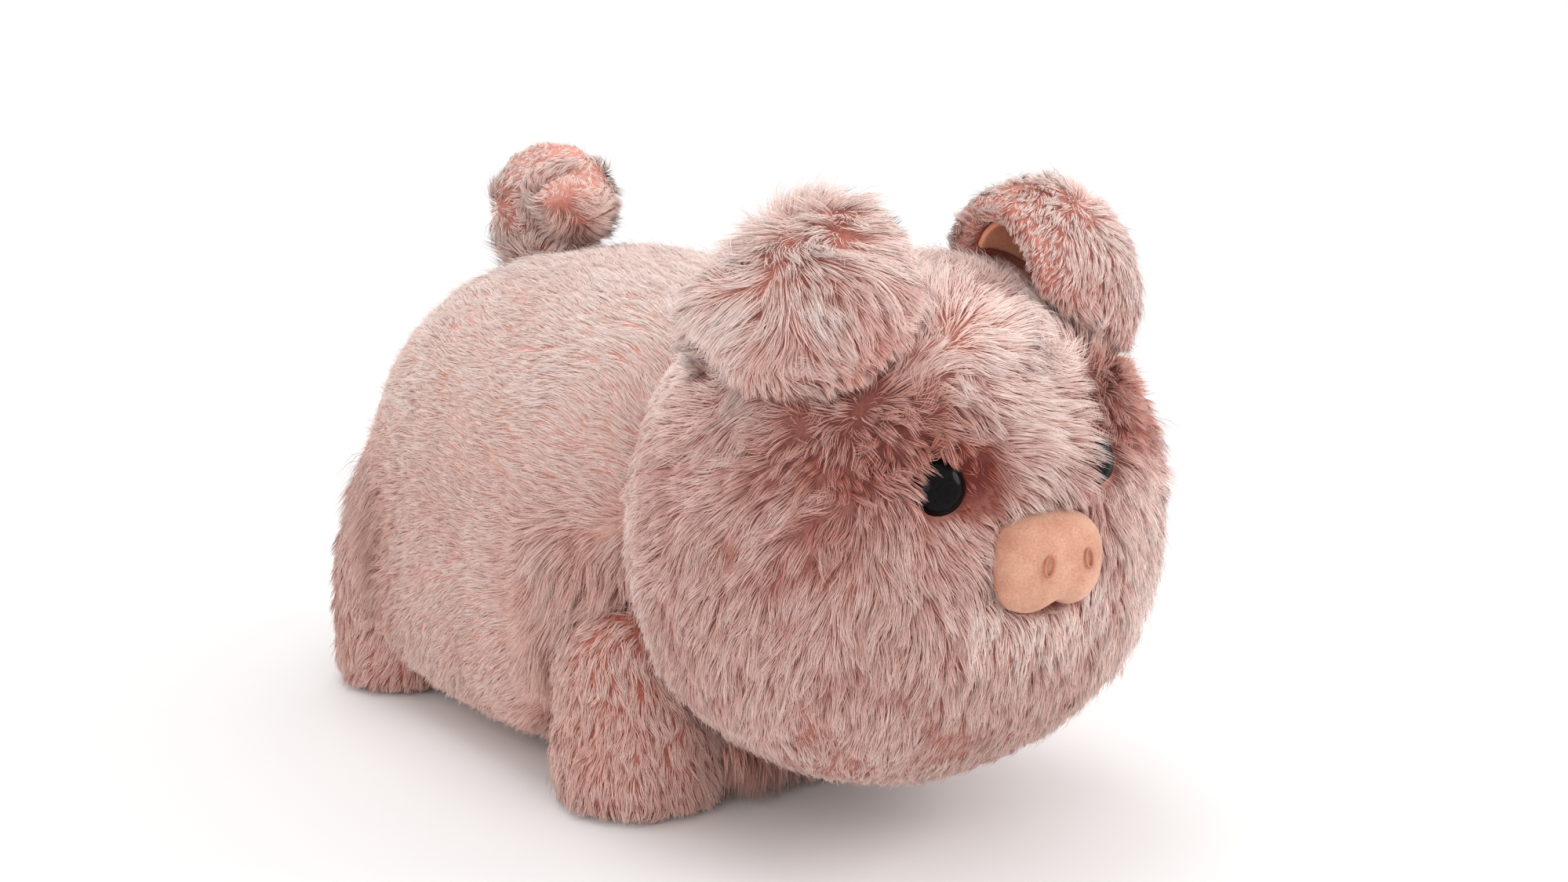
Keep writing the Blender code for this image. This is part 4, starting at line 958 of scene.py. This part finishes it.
for side, name in ((1, "left"), (-1, "right")):
    sheet, s, w, face, along = ear_sheet(side)
    tree = kdtree.KDTree(len(sheet))
    for i, place in enumerate(sheet):
        tree.insert(place, i)
    tree.balance()
    root, normal = scattered(skins["ear_" + name].data, per_mm2=2.4, seed=41 + side)
    at = np.array([tree.find(place)[1] for place in root])
    s, w, face, along = (v[at] for v in (s, w, face, along))
    inner = dot(normal, face) < -0.15
    keep = ~(inner & (np.abs(w) < 0.85) & (s > 0.10) & (s < 0.95))
    keep &= head_depth(root) > EAR_HEAD_ROOM
    root, normal, s, w, face, along, inner = (v[keep] for v in (root, normal, s, w, face, along, inner))
    centre = ear_points(side, *(np.array(v) for v in EAR_MIDDLE))
    middle = ramp(np.linalg.norm(root - centre, axis=1), *EAR_MIDDLE_RIM)
    lay = unit(root - centre) * (0.75 - 0.55 * middle)[:, None] + unit(along) * 0.30
    lay += noise(root, 0.012, 43) * 0.70 + noise(root, 0.0055, 44) * 0.50
    edge = np.maximum(ramp(np.abs(w), 0.60, 0.95), ramp(s, 0.25, 0.08))
    length = EAR_PILE_LENGTH * np.random.default_rng(45 + side).uniform(0.75, 1.2, len(root))
    length *= (1 - 0.30 * edge) * (1 - 0.45 * inner)
    length *= 1 - (0.20 + 0.25 * (side > 0)) * ramp(w, -0.60, -0.90)
    length *= 1 - 0.40 * ramp(s, 0.80, 0.96)
    if side > 0:
        length *= 1 - 0.48 * ramp(normal[:, 2], -0.2, 0.5)
    rim = ramp(np.abs(dot(unit(root - centre), normal)), 0.45, 0.90) * ramp(normal[:, 2], 0.7, 0.2)
    spots = ramp(patches(root, 0.0105, 46), 0.05, 0.50)
    tone = 0.95 - 0.32 * spots - 0.42 * ramp(s, 0.74, 0.94) - 0.06 * middle
    # Paler where the ear faces up: painted light from above
    tone += 0.10 * ramp(normal[:, 2], 0.2, 0.9)
    tone += 0.14 * patches(root, 0.005, 47)
    low_lift, high_lift = math.radians(31 - 4 * side), math.radians(-3 - 3 * side)
    made = pile(
        root,
        normal,
        lay,
        length * (1 - 0.15 * spots),
        tone,
        width=EAR_STRAND_WIDTH,
        lifts=(
            low_lift + 0.22 * patches(root, 0.01, 48) + 0.35 * middle + 0.45 * rim,
            high_lift + 0.25 * patches(root, 0.008, 49) + 0.35 * middle + 0.55 * rim,
        ),
        rings=2,
        tuft=15,
        pull=0.48,
        wild=0.8,
        clear=[(head_depth, HEAD_CENTRE, EAR_HEAD_MARGIN)],
        seed=50 + side,
    )
    made["normal"] = unit(normal + face * ramp(dot(normal, face), 0.8, 0.2)[:, None])
    add_pile(made, "ear_" + name, EAR_PILE, "ear_pile_" + name)
    lining = skin(f"ear_lining_cloth_{name}", [f"ear_lining_{name}"], voxel=0.0007, rounds=4)
    lining.data.materials.append(LINING)
    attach(lining, "ear_" + name)


# Legs: combed down, darker than the body

LEG_PILE_LENGTH, LEG_STRAND_WIDTH = 0.0078, 0.00024
LEG_IN_BODY, SOLE_ROOM, LEG_MARGIN = 0.010, 0.0012, 0.0022
LEG_TOPS = (0.046, 0.062)

for leg, (x, y, _) in LEGS.items():
    piece = skins["leg_" + leg]
    root, normal = scattered(piece.data, per_mm2=2.2, seed=61 + int(x * 100) + int(y * 100))
    keep = (body_depth(root) > -LEG_IN_BODY) & (root[:, 2] > SOLE_ROOM)
    root, normal = root[keep], normal[keep]
    lay = np.tile((0.0, 0.12, -1.0), (len(root), 1))
    top = ramp(root[:, 2], *LEG_TOPS)
    lay[:, 2] += 0.6 * top
    lay[:, 0] += math.copysign(0.8, x) * top
    lay += noise(root, 0.014, 62) * 0.35 + noise(root, 0.006, 63) * 0.45
    inward = ramp(-math.copysign(1, x) * normal[:, 0] - 0.4 * normal[:, 1], 0.2, 0.9)
    length = LEG_PILE_LENGTH * np.random.default_rng(64).uniform(0.75, 1.15, len(root))
    length *= 1 + 0.55 * inward * (y < 0)
    tone = 0.48 + 0.14 * patches(root, 0.012, 65) + 0.16 * patches(root, 0.004, 66)
    made = pile(
        root,
        normal,
        lay,
        length,
        tone,
        width=LEG_STRAND_WIDTH,
        lifts=(
            math.radians(33) + 0.22 * patches(root, 0.01, 67),
            math.radians(-2) + 0.22 * patches(root, 0.008, 68),
        ),
        rings=1,
        tuft=14,
        pull=0.48,
        wild=0.8,
        clear=[(body_depth, BODY_CENTRE, LEG_MARGIN)],
        seed=69,
    )
    add_pile(made, "leg_" + leg, LEG_PILE, "leg_pile_" + leg)
    plump(piece, 0.0006)


# Tail: dense, on all sides of its curl

TAIL_PILE_LENGTH, TAIL_STRAND_WIDTH = 0.0076, 0.00023
TAIL_IN_BODY, TAIL_MARGIN = 0.002, 0.0030
TAIL_TOPS, TAIL_BASES, TAIL_PALE = (0.165, 0.180), (0.170, 0.155), (0.155, 0.185)

root, normal = scattered(skins["tail"].data, per_mm2=2.8, seed=71)
keep = body_depth(root) > -TAIL_IN_BODY
root, normal = root[keep], normal[keep]
lay = unit(noise(root, 0.016, 72) + np.array((0, 0.1, 0.35)))
lay += noise(root, 0.006, 73) * 0.5
z = root[:, 2]
top = ramp(normal[:, 2], 0.0, 0.7) * ramp(z, *TAIL_TOPS)
length = TAIL_PILE_LENGTH * np.random.default_rng(74).uniform(0.75, 1.15, len(root))
length *= (1 - 0.60 * top) * (1 + 0.55 * ramp(z, *TAIL_BASES))
spots = ramp(patches(root, 0.009, 75), 0.0, 0.5)
made = pile(
    root,
    normal,
    lay,
    length,
    0.74 + 0.15 * ramp(z, *TAIL_PALE) - 0.25 * spots,
    width=TAIL_STRAND_WIDTH,
    lifts=(
        math.radians(48) + 0.25 * patches(root, 0.008, 76) - 0.45 * top,
        math.radians(12) + 0.30 * patches(root, 0.006, 77) - 0.35 * top,
    ),
    rings=1,
    tuft=13,
    pull=0.5,
    clear=[(body_depth, BODY_CENTRE, TAIL_MARGIN)],
    seed=78,
)
add_pile(made, "tail", TAIL_PILE, "tail_pile")
plump(skins["tail"], 0.0002)


# Snout: a velour pillow with a cleft, a little pressed in under each nostril

NOSTRIL_HALVES = (0.0029, 0.0017)
DENT_DEPTH, DENT_RIM, DENT_REACH = 0.00025, (1.2, 0.5), 0.004

snout = add("snout_velour", form(snout_points, 128, 64))
nostrils = {}
for name in ("left", "right"):
    co = coordinates(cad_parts["nostril_stitch_" + name].data)
    middle = co.mean(0)
    _, _, axes = np.linalg.svd(co - middle)
    out = axes[2] * np.sign(dot(axes[2], middle - SNOUT_CENTRE))
    tall = axes[0] * np.sign(axes[0][2])
    nostrils[name] = (middle, tall, np.cross(out, tall), out)
co = coordinates(snout.data)
for middle, tall, wide, out in nostrils.values():
    q = co - middle
    across = np.hypot(dot(q, tall) / NOSTRIL_HALVES[0], dot(q, wide) / NOSTRIL_HALVES[1])
    co -= out * (DENT_DEPTH * ramp(across, *DENT_RIM) * (dot(q, out) > -DENT_REACH))[:, None]
set_coordinates(snout.data, co)
snout.data.shade_smooth()
snout.data.materials.append(VELOUR)
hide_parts("snout_cover", "snout_stuffing")
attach(snout, "head")


# Nostrils: an upright oval ring of satin stitches, slanted over a padded core

RING_HALVES = (0.0028, 0.0015)
THREAD_RADIUS, THREAD_WIDENING, RING_LIFT = 0.00030, 1.25, 0.00010
RING_TURNS, RING_SIDES, STITCHES = 216, 10, 36
STITCH_RIDGE, STITCH_SLANT = 0.16, 0.8


def ring_faces(turns, sides):
    """Faces of a tube that closes on itself."""
    i, k = (v.ravel() for v in np.meshgrid(np.arange(turns), np.arange(sides), indexing="ij"))
    i2, k2 = (i + 1) % turns, (k + 1) % sides
    return np.stack((i * sides + k, i2 * sides + k, i2 * sides + k2, i * sides + k2), 1).tolist()


for name, (middle, tall, wide, out) in nostrils.items():
    around = np.linspace(0, math.tau, RING_TURNS, endpoint=False)[:, None]
    about = np.linspace(0, math.tau, RING_SIDES, endpoint=False)[None]
    size = THREAD_RADIUS * (1 + STITCH_RIDGE * np.cos(STITCHES * around + about * STITCH_SLANT))
    up, over = np.sin(around), np.cos(around)
    line = tall * (RING_HALVES[0] * up)[..., None] + wide * (RING_HALVES[1] * over)[..., None]
    off = tall * (up / NOSTRIL_HALVES[0])[..., None] + wide * (over / NOSTRIL_HALVES[1])[..., None]
    place = middle + line + unit(off) * (size * np.cos(about))[..., None] * THREAD_WIDENING
    place = place + out * (size * np.sin(about) + RING_LIFT)[..., None]
    mesh = bpy.data.meshes.new("stitches")
    mesh.from_pydata(place.reshape(-1, 3).tolist(), [], ring_faces(RING_TURNS, RING_SIDES))
    bm = bmesh.new()
    bm.from_mesh(mesh)
    bmesh.ops.recalc_face_normals(bm, faces=bm.faces)
    bm.to_mesh(mesh)
    bm.free()
    mesh.shade_smooth()
    mesh.materials.append(THREAD)
    ring = add("nostril_stitches_" + name, mesh)
    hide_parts("nostril_stitch_" + name)
    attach(ring, "head")


# Eyes: a polished dome with a fine rim, on the CAD eye's seat

DOME_RADIUS, DOME_RISE, DOME_FOOT, DOME_STEPS = 0.0080, 0.0048, 0.0014, 18
RIM_PROFILE = [(0.00835, 0.0011), (0.00842, 0.0007), (0.00835, 0.0002), (0.0079, 0.0)]
STEM_PROFILE = [(0.0021, 0.0), (0.0021, -0.0145), (0.0, -0.0165)]
SPUN_MERGE = 1e-6


def quarter(steps):
    """Sines and cosines of the steps of a quarter turn, after its start."""
    angles = [math.pi / 2 * i / steps for i in range(1, steps + 1)]
    return [(math.sin(angle), math.cos(angle)) for angle in angles]


def turned(profile, steps, sharp_degrees, where):
    """A closed form turned from the radii and heights of its profile, then put in its place."""
    bm = bmesh.new()
    verts = [bm.verts.new((r, 0, h)) for r, h in profile]
    edges = [bm.edges.new(pair) for pair in zip(verts, verts[1:])]
    bmesh.ops.spin(
        bm, geom=verts + edges, cent=(0, 0, 0), axis=(0, 0, 1), angle=math.tau, steps=steps
    )
    bmesh.ops.remove_doubles(bm, verts=bm.verts, dist=SPUN_MERGE)
    bmesh.ops.recalc_face_normals(bm, faces=bm.faces)
    mesh = bpy.data.meshes.new("turned")
    bm.to_mesh(mesh)
    bm.free()
    mesh.transform(where)
    mesh.shade_smooth()
    mesh.set_sharp_from_angle(angle=math.radians(sharp_degrees))
    return mesh


eye_look, tree, shader = material("eye_gloss", 0.12, specular=0.07)
shader.inputs["Coat Weight"].default_value = 0.03
shader.inputs["Coat Roughness"].default_value = 0.05
place = node(tree, "ShaderNodeTexCoord").outputs["Object"]
specks = noise_node(tree, place, 900.0, 3.0)
black = colour_ramp(tree, specks, [(0.35, (10, 8, 9)), (0.7, (18, 15, 17))])
tree.links.new(black, shader.inputs["Base Color"])
dome = [(DOME_RADIUS * sine, DOME_FOOT + DOME_RISE * cosine) for sine, cosine in quarter(DOME_STEPS)]
profile = [(0.0, DOME_FOOT + DOME_RISE)] + dome + RIM_PROFILE + STEM_PROFILE
for side, name in ((1, "left"), (-1, "right")):
    seat, look = eye_seat(side)
    turn = Vector(look).to_track_quat("Z", "Y").to_matrix().to_4x4()
    mesh = turned(profile, 64, 40, Matrix.Translation(Vector(seat)) @ turn)
    mesh.materials.append(eye_look)
    eye = add("eye_dome_" + name, mesh)
    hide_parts("eye_" + name)
    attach(eye, "head")


# Soles: a low padded disc with a rounded edge

SOLE_FLAT, SOLE_STEPS, SOLE_EDGE_SHARE = 0.013, 8, 0.95

for leg in LEGS:
    low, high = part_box("leg_sole_" + leg)
    middle, sole_radius, thick = (low + high) / 2, (high.x - low.x) / 2, high.z - low.z
    profile = [(0.0, 0.0), (SOLE_FLAT, 0.0)]
    for sine, cosine in quarter(SOLE_STEPS):
        height = thick * (1 - cosine) * SOLE_EDGE_SHARE
        profile.append((SOLE_FLAT + (sole_radius - SOLE_FLAT) * sine, height))
    profile += [(sole_radius, thick), (0.0, thick)]
    mesh = turned(profile, 72, 50, Matrix.Translation((middle.x, middle.y, low.z)))
    mesh.materials.append(SOLE)
    sole = add("sole_" + leg, mesh)
    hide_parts("leg_sole_" + leg)
    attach(sole, "leg_" + leg)


# The CAD nodes that stay: the washers behind the eyes

for name in ("eye_washer_left", "eye_washer_right"):
    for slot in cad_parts[name].material_slots:
        slot.material = WASHER


# Floor, backdrop, lamps and camera. What the camera sees far from the toy, or past the floor, is
# plain white.

FLOOR_SIZE, FLOOR_DROP = 14, 0.0003
FADE_NEAR, FADE_FAR = 0.20, 0.46
SENSOR_WIDTH = 36
FOCAL_LENGTH_PX, PHOTO_WIDTH_PX = 3500, 1999
CAMERA_PLACE = (-0.5079, -0.7162, 0.3148)
CAMERA_WAY = (0.57839, 0.78165, -0.23345)
LAMP_AIM = Vector((0, 0, 0.08))


def seen_rays(tree):
    """1 for what the camera sees, also in a gloss or through glass, and 0 for light on the toy."""
    rays = node(tree, "ShaderNodeLightPath").outputs
    seen = rays["Is Camera Ray"]
    for kind in ("Is Glossy Ray", "Is Transmission Ray"):
        seen = math_node(tree, "MAXIMUM", seen, rays[kind])
    return seen


bpy.ops.mesh.primitive_plane_add(size=FLOOR_SIZE)
floor = bpy.context.object
floor.name = "floor"
floor.location.z = -FLOOR_DROP
look, tree, paper = material("floor_paper", 0.9, specular=0.1)
paper.inputs["Base Color"].default_value = (0.90, 0.90, 0.90, 1)
place = node(tree, "ShaderNodeTexCoord").outputs["Object"]
far = node(tree, "ShaderNodeVectorMath", [(0, place)], operation="LENGTH").outputs["Value"]
amount = math_node(tree, "MULTIPLY", smooth_node(tree, far, FADE_NEAR, FADE_FAR), seen_rays(tree))
white = node(tree, "ShaderNodeEmission", [("Color", (1, 1, 1, 1)), ("Strength", 1.0)])
both = node(
    tree, "ShaderNodeMixShader", [(0, amount), (1, paper.outputs[0]), (2, white.outputs[0])]
)
tree.links.new(both.outputs[0], tree.nodes["Material Output"].inputs["Surface"])
floor.data.materials.append(look)
floor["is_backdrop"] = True

world = bpy.data.worlds.new("studio")
scene.world = world
world.use_nodes = True
tree = world.node_tree
soft = tree.nodes["Background"]
soft.inputs["Color"].default_value = (1.0, 0.985, 0.975, 1)
soft.inputs["Strength"].default_value = 0.90
plain = node(tree, "ShaderNodeBackground", [("Color", (1, 1, 1, 1)), ("Strength", 1.0)])
both = node(
    tree,
    "ShaderNodeMixShader",
    [(0, seen_rays(tree)), (1, soft.outputs[0]), (2, plain.outputs[0])],
)
tree.links.new(both.outputs[0], tree.nodes["World Output"].inputs["Surface"])


def lamp(name, place, size, power):
    data = bpy.data.lights.new(name, "AREA")
    data.shape = "DISK"
    data.size = size
    data.energy = power
    ob = bpy.data.objects.new(name, data)
    scene.collection.objects.link(ob)
    ob.location = place
    ob.rotation_euler = (LAMP_AIM - Vector(place)).to_track_quat("-Z", "Y").to_euler()


lamp("overhead", (-0.15, 0.35, 1.5), 1.1, 6)
lamp("right", (1.15, -0.95, 0.85), 0.9, 11)
lamp("left", (-1.20, -0.75, 0.70), 0.9, 4)

camera = bpy.data.cameras.new("camera")
camera.sensor_width = SENSOR_WIDTH
camera.lens = FOCAL_LENGTH_PX / PHOTO_WIDTH_PX * SENSOR_WIDTH
camera.clip_start = 0.05
view = bpy.data.objects.new("camera", camera)
scene.collection.objects.link(view)
view.location = CAMERA_PLACE
view.rotation_euler = Vector(CAMERA_WAY).to_track_quat("-Z", "Y").to_euler()
scene.camera = view
scene.view_settings.view_transform = "Standard"

low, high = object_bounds()
